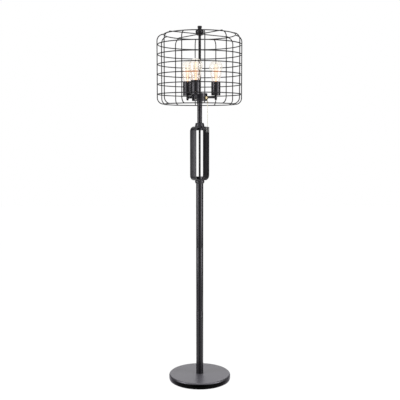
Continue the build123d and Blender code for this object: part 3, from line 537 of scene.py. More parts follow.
@dataclass(frozen=True)
class Felt(Finish):
    """Matted felt with stray fibres."""

    matting: float = 90.0
    matting_reach: float = 0.01
    fibre: float = 1500.0
    pale: float = 2.2
    sheen: float = 0.4
    depth: float = 0.25

    def dress(self, graph: Graph, shader: Node, place: Socket) -> None:
        """Add matted fibres and a soft sheen."""
        warp = graph.noise(place, self.matting, 3.0)
        bent = graph.add("ShaderNodeVectorMath", operation="MULTIPLY_ADD")
        graph.feed(bent.inputs[0], warp["Color"])
        bent.inputs[1].default_value = (self.matting_reach,) * 3
        graph.feed(bent.inputs[2], place)
        fibres = graph.noise(bent.outputs["Vector"], self.fibre, 4.0)
        pale = tuple(channel * self.pale for channel in self.colour)
        graph.fill(shader, {"Base Color": graph.blend(fibres["Fac"], self.colour, pale),
                            "Sheen Weight": self.sheen})
        self.emboss(graph, shader, fibres["Fac"], self.depth)


@dataclass(frozen=True)
class LampGlass(Finish):
    """Clear blown glass with a painted glow, standing in for its filament's light scattered in it."""

    glow: Colour = (1.0, 0.86, 0.66)
    glow_low: float = 1.320
    glow_high: float = 1.362
    glow_level: float = 0.05
    ember: Colour = (0.8, 0.4, 0.2)
    refraction: float = 1.47
    smudge: float = 55.0
    smudged: float = 0.08
    wave: float = 38.0
    wave_depth: float = 0.25

    def dress(self, graph: Graph, shader: Node, place: Socket) -> None:
        """Add the glass itself, faint smudges and waves, and the painted glow on it."""
        smudge = graph.noise(place, self.smudge, 5.0, 0.6)
        streak = graph.spread(smudge["Fac"], self.roughness, self.roughness + self.smudged, 0.5, 0.8)
        # painted glow: the glass emits light, warmer lower down
        rise = graph.spread(graph.height(place), 0.0, 1.0, self.glow_low, self.glow_high)
        ember = tuple(channel * tint for channel, tint in zip(self.glow, self.ember))
        graph.fill(shader, {"Transmission Weight": 1.0, "IOR": self.refraction, "Roughness": streak,
                            "Emission Color": graph.blend(rise, ember, self.glow),
                            "Emission Strength": self.glow_level})
        waves = graph.noise(place, self.wave, 1.0)
        self.emboss(graph, shader, waves["Fac"], self.wave_depth, 0.5)


@dataclass(frozen=True)
class HotWire(Finish):
    """A glowing filament: amber at its cool ends, almost white along its middle."""

    hot: Colour = (1.0, 0.78, 0.54)
    cool_height: float = 1.333
    hot_height: float = 1.362
    level: float = 1.0
    cool_level: float = 0.15
    ember: Colour = (0.5, 0.3, 0.22)
    spot: float = 420.0
    spot_levels: Point2 = (0.75, 1.15)
    depth: float = 0.05

    def dress(self, graph: Graph, shader: Node, place: Socket) -> None:
        """Add the glow along the wire, with uneven bright spots."""
        rise = graph.spread(graph.height(place), self.cool_level, 1.0, self.cool_height,
                            self.hot_height)
        spots = graph.noise(place, self.spot, 2.0)
        heat = graph.math("MULTIPLY", rise, graph.spread(spots["Fac"], *self.spot_levels, 0.3, 0.7))
        ember = tuple(channel * tint for channel, tint in zip(self.hot, self.ember))
        graph.fill(shader, {"Emission Color": graph.blend(heat, ember, self.hot),
                            "Emission Strength": self.level})
        self.emboss(graph, shader, spots["Fac"], self.depth)


class Finishes:
    """Every finish of the lamp, under the part it belongs to."""

    # the base's lighter colour is partly a painted reflection of the backdrop on its top, and its lower side
    # gets painted shade
    BASE = ShadedEnamel("satin charcoal enamel, base", (0.148, 0.1435, 0.163), 0.34, peel=700.0,
                        peel_depth=0.02, patch=9.0, uneven=0.12, wear=0.0, gloss=1.0)
    POLE = Enamel("satin charcoal enamel, pole", (0.009, 0.0087, 0.0102), 0.26, peel_depth=0.012,
                  patch=18.0, uneven=0.25, wear=0.1, gloss=0.42)
    STRAP = StrapEnamel("satin charcoal enamel, strap", (0.016, 0.0155, 0.018), 0.4, patch=22.0,
                        uneven=0.3, wear=0.4)
    COLLAR = Enamel("satin charcoal enamel, collars", (0.016, 0.0155, 0.018), 0.34, patch=35.0,
                    uneven=0.3, wear=0.6)
    HUB = Enamel("satin charcoal enamel, hub", (0.013, 0.0125, 0.0145), 0.28, patch=35.0)
    CUP = Enamel("satin black enamel, cups", (0.011, 0.0105, 0.012), 0.26, patch=30.0, wear=0.6)
    WIRE = LampLitEnamel("satin black enamel, wire", (0.008, 0.008, 0.0085), 0.4, peel=1600.0,
                         patch=40.0, uneven=0.4, wear=0.0, gloss=0.25)
    ROD = Enamel("satin black enamel, rods", (0.006, 0.006, 0.006), 0.36, patch=40.0, gloss=0.3)
    FINIAL = Enamel("satin black enamel, finial", (0.007, 0.007, 0.007), 0.32, patch=60.0,
                    wear=0.4, gloss=0.35)
    BRASS = WorkedMetal("polished brass", (0.8, 0.68, 0.42), 0.24, tarnish=(0.5, 0.38, 0.2))
    CHAIN = WorkedMetal("pale brass chain", (0.62, 0.6, 0.43), 0.28, tarnish=(0.62, 0.55, 0.36),
                        fineness=900.0)
    ZINC = WorkedMetal("zinc plated steel", (0.6, 0.6, 0.58), 0.3, tarnish=(0.34, 0.33, 0.29),
                       aged=0.5)
    PIPE = WorkedMetal("zinc plated threaded pipe", (0.55, 0.53, 0.49), 0.34,
                       tarnish=(0.3, 0.27, 0.22))
    NICKEL = WorkedMetal("nickel plated cap", (0.72, 0.69, 0.63), 0.22, tarnish=(0.45, 0.4, 0.32),
                         aged=0.3)
    ALUMINIUM = WorkedMetal("turned aluminium", (0.78, 0.78, 0.77), 0.28,
                            tarnish=(0.5, 0.5, 0.48), aged=0.25)
    NYLON = Moulding("black nylon", (0.02, 0.02, 0.021), 0.5)
    PHENOLIC = Moulding("black phenolic", (0.028, 0.024, 0.022), 0.34, coat=0.15)
    CERAMIC = Moulding("black glazed ceramic", (0.03, 0.027, 0.026), 0.2, depth=0.03, coat=0.6)
    FOB = Moulding("dark lacquered fob", (0.035, 0.033, 0.032), 0.25, depth=0.02, coat=0.5)
    IRON = RoughCasting("rough cast iron", (0.12, 0.115, 0.11), 0.7)
    FELT = Felt("black felt", (0.018, 0.018, 0.019), 0.95)
    GLASS = LampGlass("clear bulb glass", (0.91, 0.902, 0.888), 0.0)
    # the stem gets a strong painted amber glow near the filament's foot
    STEM = LampGlass("glass stem", (1.0, 0.93, 0.82), 0.0, glow=(1.0, 0.5, 0.24), glow_low=1.295,
                     glow_high=1.320, glow_level=0.9)
    FILAMENT = HotWire("glowing filament", (0.08, 0.06, 0.05), 0.5)


# ---------------- geometry
def around(angle: float, reach: float) -> Point2:
    """The point of the ground plan at an angle and a distance from the lamp's axis."""
    return reach * cos(radians(angle)), reach * sin(radians(angle))


def on_ring(place: Matrix, radius: float, angle: float, height: float) -> Vector:
    """The point of a frame at a radius, an angle in radians and a height."""
    return place @ Vector((radius * cos(angle), radius * sin(angle), height))


def standing(angle: float = 0.0, reach: float = 0.0, height: float = 0.0) -> Matrix:
    """The upright frame of a point beside the lamp's axis."""
    return Matrix.Translation((*around(angle, reach), height))


def facing_out(angle: float, reach: float, height: float) -> Matrix:
    """The frame whose +Z points away from the lamp's axis and whose +Y points up.

    Args:
        angle: The direction of its +Z.
        reach: How far its origin lies from the axis.
        height: How high its origin lies.

    Returns:
        The frame as a matrix.
    """
    x, y = around(angle, 1.0)
    turned = Matrix(((-y, 0, x, 0), (x, 0, y, 0), (0, 1, 0, 0), (0, 0, 0, 1)))
    return Matrix.Translation((*around(angle, reach), height)) @ turned


def rounded(corners: Sequence[Corner], steps: int = 4) -> list[Point2]:
    """Round the corners of a section.

    Args:
        corners: The corners in order, as (radius, height) or (radius, height, rounding).
        steps: How many edges make each rounding.

    Returns:
        The points of the rounded section.
    """
    points: list[Point2] = []
    count = len(corners)
    for index, corner in enumerate(corners):
        here = Vector(corner[:2])
        size = corner[2] if len(corner) > 2 else 0.0
        if size <= 0:
            points.append((here.x, here.y))
            continue
        back = Vector(corners[index - 1][:2]) - here
        ahead = Vector(corners[(index + 1) % count][:2]) - here
        half = back.angle(ahead) / 2
        reach = min(size / tan(half), 0.49 * back.length, 0.49 * ahead.length)
        size = reach * tan(half)
        start, end = here + back.normalized() * reach, here + ahead.normalized() * reach
        centre = here + (back.normalized() + ahead.normalized()).normalized() * (size / sin(half))
        for step in range(steps + 1):
            spot = centre + (start - centre).slerp(end - centre, step / steps) * size
            points.append((spot.x, spot.y))
    return points


def rounded_box(inner: float, outer: float, ends: Point2, edges: Sequence[float]) -> list[Point2]:
    """The rectangular section of a sleeve, a disc or a strap.

    Args:
        inner: How far out it starts, 0 for a disc.
        outer: How far out it ends.
        ends: The heights of its foot and its top.
        edges: The roundings of its inner foot, outer foot, outer top and inner top.

    Returns:
        The points of the rounded section.
    """
    foot, top = ends
    corners = ((inner, foot), (outer, foot), (outer, top), (inner, top))
    return rounded([(*corner, edge) for corner, edge in zip(corners, edges)])


def arc(centre: Point2, radius: float, start: float, end: float, steps: int) -> list[Point2]:
    """The points of an arc in a section.

    Args:
        centre: Its centre, as (radius, height).
        radius: Its own radius.
        start: The angle of its first point, in degrees.
        end: The angle of its last point.
        steps: How many edges it has.

    Returns:
        Its points in order.
    """
    turns = (radians(start + (end - start) * step / steps) for step in range(steps + 1))
    return [(centre[0] + radius * cos(turn), centre[1] + radius * sin(turn)) for turn in turns]


def arc_through(first: Point2, middle: Point2, last: Point2, steps: int) -> list[Point2]:
    """The points of the arc through three points of a section.

    Args:
        first: Where it starts.
        middle: A point that it passes.
        last: Where it ends.
        steps: How many edges it has.

    Returns:
        Its points in order.
    """
    (ax, ay), (bx, by), (cx, cy) = first, middle, last
    size = 2 * (ax * (by - cy) + bx * (cy - ay) + cx * (ay - by))
    a2, b2, c2 = ax * ax + ay * ay, bx * bx + by * by, cx * cx + cy * cy
    x = (a2 * (by - cy) + b2 * (cy - ay) + c2 * (ay - by)) / size
    y = (a2 * (cx - bx) + b2 * (ax - cx) + c2 * (bx - ax)) / size
    start, way, end = (degrees(atan2(py - y, px - x)) for px, py in (first, middle, last))
    sweep = (end - start) % 360
    if (way - start) % 360 > sweep:
        sweep -= 360
    return arc((x, y), hypot(ax - x, ay - y), start, start + sweep, steps)


def linked(name: str, data: bpy.types.ID) -> bpy.types.Object:
    """Make an object of some data and link it to the scene."""
    made = bpy.data.objects.new(name, data)
    bpy.context.scene.collection.objects.link(made)
    return made


def evaluated_mesh(holder: bpy.types.Object) -> bpy.types.Mesh:
    """The plain mesh that an object's modifiers make."""
    bpy.context.view_layer.update()
    view = holder.evaluated_get(bpy.context.evaluated_depsgraph_get())
    return bpy.data.meshes.new_from_object(view)


def adopt(data: bpy.types.Mesh, name: str, finish: Finish, nodes: Sequence[str],
          body: Body = Body.STAND, crease: float = 35.0) -> bpy.types.Object:
    """Turn a finished mesh into a piece of the lamp.

    Args:
        data: The mesh, in metres.
        name: The piece's name.
        finish: Its finish.
        nodes: The nodes of the frame that it stands for, if any.
        body: The body that it rides on.
        crease: Edges sharper than this many degrees stay sharp.

    Returns:
        The piece.
    """
    data.shade_smooth()
    data.set_sharp_from_angle(angle=radians(crease))
    data.materials.clear()
    data.materials.append(finish.material())
    piece = linked(name, data)
    if nodes:
        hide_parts(*nodes)
    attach(piece, body.value)
    LOG.info("%s: %d faces on %s", name, len(data.polygons), body.value)
    return piece


class Draft:
    """A closed mesh being built, in millimetres."""

    THREAD_STEPS = 8
    THREAD_RUNOUT = 0.6
    NUT_SIDES = 72
    NUT_CROWN = 0.97

    def __init__(self) -> None:
        """Start empty."""
        self.mesh = bmesh.new()

    def skin(self, rows: Sequence[Sequence[Vector]], wrap: bool) -> None:
        """Join rows of points into a surface.

        Args:
            rows: Rows of equal length, or of one point at a pole.
            wrap: Whether the last row joins the first.
        """
        made = [[self.mesh.verts.new(point) for point in row] for row in rows]
        for lower, upper in list(zip(made, made[1:])) + ([(made[-1], made[0])] if wrap else []):
            count = max(len(lower), len(upper))
            for index in range(count):
                after = (index + 1) % count
                if len(lower) == 1:
                    self.mesh.faces.new((lower[0], upper[after], upper[index]))
                elif len(upper) == 1:
                    self.mesh.faces.new((lower[index], lower[after], upper[0]))
                else:
                    self.mesh.faces.new((lower[index], lower[after], upper[after], upper[index]))

    def lathe(self, section: Sequence[Point2], place: Matrix = Matrix(), turns: int = 96) -> "Draft":
        """Add a turned shape.

        Args:
            section: The (radius, height) points of its half section. It starts and ends on the
                axis, or else it is a loop.
            place: The frame whose +Z is its axis.
            turns: How many sides it has.

        Returns:
            The draft.
        """
        rows = []
        for radius, height in section:
            if radius < 1e-6:
                rows.append([place @ Vector((0, 0, height))])
                continue
            rows.append([on_ring(place, radius, 2 * pi * side / turns, height) for side in range(turns)])
        self.skin(rows, section[0][0] > 0)
        return self

    def bar(self, radius: float, ends: Point2, place: Matrix = Matrix(), turns: int = 48) -> "Draft":
        """Add a plain round bar.

        Args:
            radius: Its radius.
            ends: The heights of its foot and its top.
            place: The frame whose +Z is its axis.
            turns: How many sides it has.

        Returns:
            The draft.
        """
        foot, top = ends
        return self.lathe([(0, foot), (radius, foot), (radius, top), (0, top)], place, turns)

    def thread(self, radius: float, depth: float, pitch: float, ends: Point2, place: Matrix = Matrix(),
               turns: int = 48, bore: float = 0.0) -> "Draft":
        """Add a threaded bar or tube.

        Args:
            radius: Its crest radius.
            depth: The depth of the thread.
            pitch: The rise of one turn.
            ends: The heights of its foot and its top.
            place: The frame whose +Z is its axis.
            turns: How many sides it has.
            bore: The radius of its bore, or 0.

        Returns:
            The draft.
        """
        foot, top = ends
        steps = max(2, ceil((top - foot) / pitch * self.THREAD_STEPS))
        rows: list[list[Vector]] = []
        for step in range(steps + 1):
            height = foot + (top - foot) * step / steps
            fade = min(1.0, (height - foot) / pitch, (top - height) / pitch)
            row = []
            for side in range(turns):
                angle = 2 * pi * side / turns
                wave = 0.5 - 0.5 * cos(2 * pi * (height - foot) / pitch - angle)
                reach = radius - depth * (wave * fade + (1 - fade) * self.THREAD_RUNOUT)
                row.append(on_ring(place, reach, angle, height))
            rows.append(row)
        if bore:
            for height in (top, foot):
                rows.append([on_ring(place, bore, 2 * pi * side / turns, height) for side in range(turns)])
            self.skin(rows, True)
        else:
            ends_on_axis = [[place @ Vector((0, 0, foot))], [place @ Vector((0, 0, top))]]
            self.skin([ends_on_axis[0], *rows, ends_on_axis[1]], False)
        return self

    def nut(self, corner_radius: float, bore: float, thickness: float, place: Matrix,
            slope: float = 30.0) -> "Draft":
        """Add a hexagon nut with turned crowns on both faces.

        Args:
            corner_radius: The reach of its corners.
            bore: The radius of its hole.
            thickness: Its thickness along its axis.
            place: The frame whose +Z is its axis and whose origin is on its lower face.
            slope: The slope of the crowns in degrees.

        Returns:
            The draft.
        """
        flat = corner_radius * cos(pi / 6)
        crown = flat * self.NUT_CROWN
        rows: list[list[Vector]] = [[] for _ in range(6)]
        for side in range(self.NUT_SIDES):
            angle = 2 * pi * side / self.NUT_SIDES
            reach = flat / cos(angle % (pi / 3) - pi / 6)
            drop = (reach - crown) * tan(radians(slope))
            levels = ((bore, 0.0), (crown, 0.0), (reach, drop), (reach, thickness - drop),
                      (crown, thickness), (bore, thickness))
            for row, (radius, height) in zip(rows, levels):
                row.append(on_ring(place, radius, angle, height))
        self.skin(rows, True)
        return self

    def closed_data(self, name: str) -> bpy.types.Mesh:
        """Finish the mesh, facing outwards and in metres.

        Args:
            name: The mesh's name.

        Returns:
            The mesh.
        """
        bmesh.ops.recalc_face_normals(self.mesh, faces=self.mesh.faces)
        self.mesh.transform(Matrix.Scale(MM, 4))
        data = bpy.data.meshes.new(name)
        self.mesh.to_mesh(data)
        self.mesh.free()
        return data

    def piece(self, name: str, finish: Finish, nodes: Sequence[str], body: Body = Body.STAND,
              crease: float = 35.0) -> bpy.types.Object:
        """Finish the draft as a piece of the lamp, as adopt() does."""
        return adopt(self.closed_data(name), name, finish, nodes, body, crease)


class Cut(Enum):
    """How a further shape changes a solid."""

    JOIN = "UNION"
    REMOVE = "DIFFERENCE"


def combine(name: str, solid: Draft, changes: Iterable[tuple[Cut, Draft]]) -> bpy.types.Mesh:
    """Join shapes to a solid and cut shapes out of it.

    Args:
        name: The mesh's name.
        solid: The solid to start from.
        changes: The further closed shapes, in order.

    Returns:
        The closed mesh, in metres.
    """
    parts = [linked(name, solid.closed_data(name))]
    for way, draft in changes:
        part = linked(name, draft.closed_data(name))
        parts.append(part)
        change = parts[0].modifiers.new(way.name, "BOOLEAN")
        change.operation = way.value
        change.solver = "EXACT"
        change.object = part
    made = evaluated_mesh(parts[0])
    for part in parts:
        bpy.data.objects.remove(part)
    return made


# ---------------- geometry nodes
class NodeShop:
    """The geometry node trees that make what repeats or follows a path."""

    CREASE = 60.0

    def __init__(self) -> None:
        """Start with no tree built."""
        self.trees: dict[str, tuple[bpy.types.NodeTree, dict[str, str]]] = {}

    def start(self, name: str, inputs: dict[str, tuple[str, Any]]) -> tuple[Graph, Any]:
        """Make an empty tree with its named inputs.

        Args:
            name: The tree's name.
            inputs: Each input's socket type and default, by name.

        Returns:
            The graph and its input node.
        """
        tree = bpy.data.node_groups.new(name, "GeometryNodeTree")
        tree.interface.new_socket("Geometry", in_out="INPUT", socket_type="NodeSocketGeometry")
        tree.interface.new_socket("Geometry", in_out="OUTPUT", socket_type="NodeSocketGeometry")
        keys = {}
        for label, (kind, value) in inputs.items():
            socket = tree.interface.new_socket(label, in_out="INPUT", socket_type=f"NodeSocket{kind}")
            if value is not None:
                socket.default_value = value
            keys[label] = socket.identifier
        self.trees[name] = (tree, keys)
        graph = Graph(tree)
        return graph, graph.add("NodeGroupInput").outputs

    @staticmethod
    def close(graph: Graph, geometry: Socket, finish: Socket) -> None:
        """End a tree: smooth, real and with its finish.

        Args:
            graph: The tree's graph.
            geometry: What the tree has made.
            finish: The material socket.
        """
        real = graph.add("GeometryNodeRealizeInstances", {"Geometry": geometry}).outputs["Geometry"]
        smooth = graph.add("GeometryNodeSetShadeSmooth", {"Geometry": real}).outputs["Geometry"]
        dressed = graph.add("GeometryNodeSetMaterial", {"Geometry": smooth, "Material": finish})
        made = graph.add("NodeGroupOutput")
        graph.feed(made.inputs["Geometry"], dressed.outputs["Geometry"])

    def repeated_wire(self) -> str:
        """Build or find the tree that repeats a path round and up the axis and sweeps a wire along it."""
        name = "repeated wire"
        if name in self.trees:
            return name
        graph, given = self.start(name, {
            "Wire radius": ("Float", 0.00175), "Sides": ("Int", 12), "Count": ("Int", 1),
            "Start angle": ("Float", 0.0), "Turn": ("Float", 0.0), "Rise": ("Float", 0.0),
            "Finish": ("Material", None)})
        path = graph.add("GeometryNodeMeshToCurve", {"Mesh": given["Geometry"]}).outputs["Curve"]
        spots = graph.add("GeometryNodeMeshLine", {"Count": given["Count"]})
        spots.inputs["Offset"].default_value = (0.0, 0.0, 0.0)
        index = graph.add("GeometryNodeInputIndex").outputs["Index"]
        angle = graph.math("MULTIPLY_ADD", index, given["Turn"], given["Start angle"])
        rise = graph.math("MULTIPLY", index, given["Rise"])
        offset = graph.add("ShaderNodeCombineXYZ", {"Z": rise}).outputs["Vector"]
        lifted = graph.add("GeometryNodeSetPosition",
                           {"Geometry": spots.outputs["Mesh"], "Offset": offset}).outputs["Geometry"]
        euler = graph.add("ShaderNodeCombineXYZ", {"Z": angle}).outputs["Vector"]
        turn = graph.add("FunctionNodeEulerToRotation", {"Euler": euler}).outputs["Rotation"]
        copies = graph.add("GeometryNodeInstanceOnPoints",
                           {"Points": lifted, "Instance": path, "Rotation": turn}).outputs["Instances"]
        paths = graph.add("GeometryNodeRealizeInstances", {"Geometry": copies}).outputs["Geometry"]
        section = graph.add("GeometryNodeCurvePrimitiveCircle",
                            {"Resolution": given["Sides"], "Radius": given["Wire radius"]})
        wire = graph.add("GeometryNodeCurveToMesh", {
            "Curve": paths, "Profile Curve": section.outputs["Curve"], "Fill Caps": True})
        self.close(graph, wire.outputs["Mesh"], given["Finish"])
        return name

    def ball_chain(self) -> str:
        """Build or find the tree that strings beads on a link wire along a path."""
        name = "ball chain"
        if name in self.trees:
            return name
        graph, given = self.start(name, {
            "Beads": ("Int", 5), "Bead radius": ("Float", 0.0012), "Link radius": ("Float", 0.0004),
            "Finish": ("Material", None)})
        path = graph.add("GeometryNodeMeshToCurve", {"Mesh": given["Geometry"]}).outputs["Curve"]
        spots = graph.add("GeometryNodeResampleCurve", {"Curve": path, "Count": given["Beads"]},
                          mode="COUNT").outputs["Curve"]
        bead = graph.add("GeometryNodeMeshUVSphere", {
            "Segments": 16, "Rings": 10, "Radius": given["Bead radius"]}).outputs["Mesh"]
        tangent = graph.add("GeometryNodeInputTangent").outputs["Tangent"]
        lie = graph.add("FunctionNodeAlignRotationToVector", {"Vector": tangent}, axis="Z")
        beads = graph.add("GeometryNodeInstanceOnPoints", {
            "Points": spots, "Instance": bead, "Rotation": lie.outputs["Rotation"]})
        section = graph.add("GeometryNodeCurvePrimitiveCircle", {
            "Resolution": 10, "Radius": given["Link radius"]}).outputs["Curve"]
        link = graph.add("GeometryNodeCurveToMesh", {
            "Curve": path, "Profile Curve": section, "Fill Caps": True})
        both = graph.add("GeometryNodeJoinGeometry")
        for part in (link.outputs["Mesh"], beads.outputs["Instances"]):
            graph.tree.links.new(part, both.inputs["Geometry"])
        self.close(graph, both.outputs["Geometry"], given["Finish"])
        return name

    def weld_beads(self) -> str:
        """Build or find the tree that sets a small lump of weld on each point."""
        name = "weld beads"
        if name in self.trees:
            return name
        graph, given = self.start(name, {
            "Bead radius": ("Float", 0.0021), "Seed": ("Int", 7), "Finish": ("Material", None)})
        lump = graph.add("GeometryNodeMeshIcoSphere", {"Radius": given["Bead radius"], "Subdivisions": 3})
        size = graph.add("FunctionNodeRandomValue", {"Seed": given["Seed"]}, data_type="FLOAT_VECTOR")
        size.inputs["Min"].default_value = (0.82, 0.82, 0.7)
        size.inputs["Max"].default_value = (1.12, 1.12, 0.95)
        turn = graph.add("FunctionNodeRandomValue", {"Seed": given["Seed"]}, data_type="FLOAT_VECTOR")
        turn.inputs["Max"].default_value = (0.6, 0.6, 6.28)
        lie = graph.add("FunctionNodeEulerToRotation", {"Euler": turn.outputs["Value"]})
        beads = graph.add("GeometryNodeInstanceOnPoints", {
            "Points": given["Geometry"], "Instance": lump.outputs["Mesh"],
            "Rotation": lie.outputs["Rotation"], "Scale": size.outputs["Value"]})
        self.close(graph, beads.outputs["Instances"], given["Finish"])
        return name

    def make(self, recipe: str, name: str, runs: Sequence[Path3], finish: Finish, body: Body,
             nodes: Sequence[str] = (), ring: bool = False, **values: Any) -> bpy.types.Object:
        """Run a tree on paths and keep the result as a piece.

        Args:
            recipe: The tree's name.
            name: The piece's name.
            runs: Each path's points in millimetres.
            finish: The piece's finish.
            body: The body that it rides on.
            nodes: The nodes of the frame that it stands for.
            ring: Whether the paths are closed rings.
            **values: The tree's inputs, with _ for a space.

        Returns:
            The piece.
        """
        tree, keys = self.trees[recipe]
        points: list[Vector] = []
        edges: list[tuple[int, int]] = []
        for path in runs:
            first = len(points)
            points += [Vector(point) * MM for point in path]
            edges += [(step, step + 1) for step in range(first, len(points) - 1)]
            edges += [(len(points) - 1, first)] if ring else []
        seed = bpy.data.meshes.new(name)
        seed.from_pydata(points, edges, [])
        holder = linked(f"{name}_path", seed)
        modifier = holder.modifiers.new(recipe, "NODES")
        modifier.node_group = tree
        for label, value in {**values, "Finish": finish.material()}.items():
            modifier[keys[label.replace("_", " ")]] = value
        data = evaluated_mesh(holder)
        holder.modifiers.remove(modifier)
        bpy.data.objects.remove(holder)
        data.name = name
        return adopt(data, name, finish, nodes, body, self.CREASE)


SHOP = NodeShop()


# ---------------- sub-assemblies
@dataclass(frozen=True)
class Levels:
    """The heights and the angles that more than one sub-assembly uses."""

    base_top: float = 28.0
    pole_top: float = 878.5
    loop_foot: float = 892.5
    loop_top: float = 1125.5
    stem_foot: float = 1141.0
    stem_top: float = 1215.5
    hub_foot: float = 1234.5
    hub_rim: float = 1264.5
    hub_top: float = 1267.5
    arms: float = 1250.5
    switch: float = 1247.5
    cup_foot: float = 1259.5
    bulb_foot: float = 1274.0
    seat_foot: float = 1512.1
    cage_top: float = 1515.0
    spider_foot: float = 1516.1
    spider: float = 1518.1
    finial_foot: float = 1520.1
    lights: tuple[tuple[str, float], ...] = (("front", -103.2), ("right", 16.8), ("left", 136.8))
    light_reach: float = 73.0
    switch_angle: float = -43.0


LEVELS = Levels()


@dataclass
class SubAssembly:
    """A sub-assembly of the lamp: builds its meshes, and dresses the frame's nodes that it keeps."""

    kept: dict[str, Finish] = field(default_factory=dict)

    def build(self) -> None:
        """Build the sub-assembly's meshes."""

    def dress(self) -> None:
        """Give each node that is kept as it is its own finish."""
        for node, finish in self.kept.items():
            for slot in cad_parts[node].material_slots:
                slot.material = finish.material()
            LOG.info("%s: kept, %s", node, finish.name)


@dataclass
class Base(SubAssembly):
    """The round weighted base."""

    radius: float = 136.5
    wall: float = 1.5
    rim: float = 14.5
    edge_height: float = 1.5
    tuck: Point2 = (3.5, 12.0)
    pipe_hole: float = 5.1
    pad_radius: float = 131.2
    pad_thickness: float = 3.0
    pad_edge: float = 0.7
    cord_angle: float = 90.0
    cord_height: float = 8.8
    cord_hole: float = 4.4
    cord_cut: Point2 = (120.0, 150.0)
    bushing_bore: float = 3.1
    bushing_neck: float = 4.3
    bushing_flanges: Point2 = (5.2, 5.8)
    bushing_flange: float = 1.8
    bushing_gap: float = 0.2
    rim_steps: int = 18
    tuck_steps: int = 12
    kept: dict[str, Finish] = field(default_factory=lambda: {
        "base_weight": Finishes.IRON, "base_washer": Finishes.ZINC, "base_lock_nut": Finishes.ZINC})

    @property
    def cord_way(self) -> Matrix:
        """The frame that points out through the cord's hole."""
        return facing_out(self.cord_angle, 0, self.cord_height)

    def build(self) -> None:
        """Build the cover, the pad and the cord's bushing."""
        self.build_cover()
        self.build_pad()
        self.build_bushing()

    def build_cover(self) -> None:
        """Build the pressed cover with its rolled rim."""
        top, inside = LEVELS.base_top, self.radius - self.wall
        knee = self.edge_height + self.tuck[1]
        section = rounded([(self.radius, knee), (self.radius, top, self.rim), (self.pipe_hole, top),
                           (self.pipe_hole, top - self.wall), (inside, top - self.wall, self.rim - self.wall),
                           (inside, knee)], self.rim_steps)[1:-1]
        section += self.tucked(inside) + self.tucked(self.radius)[::-1]
        hole = Draft().bar(self.cord_hole, self.cord_cut, self.cord_way)
        data = combine("base_cover_pressed", Draft().lathe(section, turns=224), [(Cut.REMOVE, hole)])
        adopt(data, "base_cover_pressed", Finishes.BASE, ["base_cover"])

    def tucked(self, radius: float) -> list[Point2]:
        """The lower part of the cover's side, which draws in towards the floor.

        Args:
            radius: The side's full radius.

        Returns:
            Its points, from the full radius down to the edge.
        """
        inwards, rise = self.tuck
        turns = [radians(90 * step / self.tuck_steps) for step in range(self.tuck_steps + 1)]
        return [(radius - inwards * (1 - cos(turn)), self.edge_height + rise * (1 - sin(turn)))
                for turn in turns]

    def build_pad(self) -> None:
        """Build the felt pad under the base."""
        section = rounded_box(0, self.pad_radius, (0, self.pad_thickness),
                              (0, self.pad_edge, self.pad_edge, 0))
        Draft().lathe(section, turns=160).piece("base_felt_pad", Finishes.FELT, ["base_pad"])

    def build_bushing(self) -> None:
        """Build the snap-in bushing that the cord would pass."""
        bore, neck, thick = self.bushing_bore, self.bushing_neck, self.bushing_flange
        inner, outer = self.bushing_flanges
        start = self.radius - self.wall - self.bushing_gap - thick
        end = self.radius + thick
        section = rounded([(bore, start, 0.3), (inner, start, 0.5), (inner, start + thick, 0.2),
                           (neck, start + thick), (neck, self.radius), (outer, self.radius, 0.2),
                           (outer, end, 0.9), (bore, end, 0.6)])
        bushing = Draft().lathe(section, self.cord_way, 64)
        bushing.piece("cord_bushing_moulded", Finishes.NYLON, ["cord_bushing"])


@dataclass
class Pole(SubAssembly):
    """The three tubes of the pole and what joins them."""

    radius: float = 15.8
    bore: float = 14.3
    edge: float = 0.55
    bore_edge: float = 0.2
    names: tuple[str, ...] = ("lower", "middle", "upper")
    kept: dict[str, Finish] = field(default_factory=lambda: {
        "pole_end_bushes": Finishes.ALUMINIUM, "lamp_pipe_nipples": Finishes.PIPE})

    def build(self) -> None:
        """Build the three tubes."""
        length = (LEVELS.pole_top - LEVELS.base_top) / len(self.names)
        for index, name in enumerate(self.names):
            foot = LEVELS.base_top + index * length
            section = rounded_box(self.bore, self.radius, (foot, foot + length),
                                  (self.bore_edge, self.edge, self.edge, self.bore_edge))
            Draft().lathe(section, turns=128).piece(f"pole_tube_{name}", Finishes.POLE, [f"pole_{name}"])


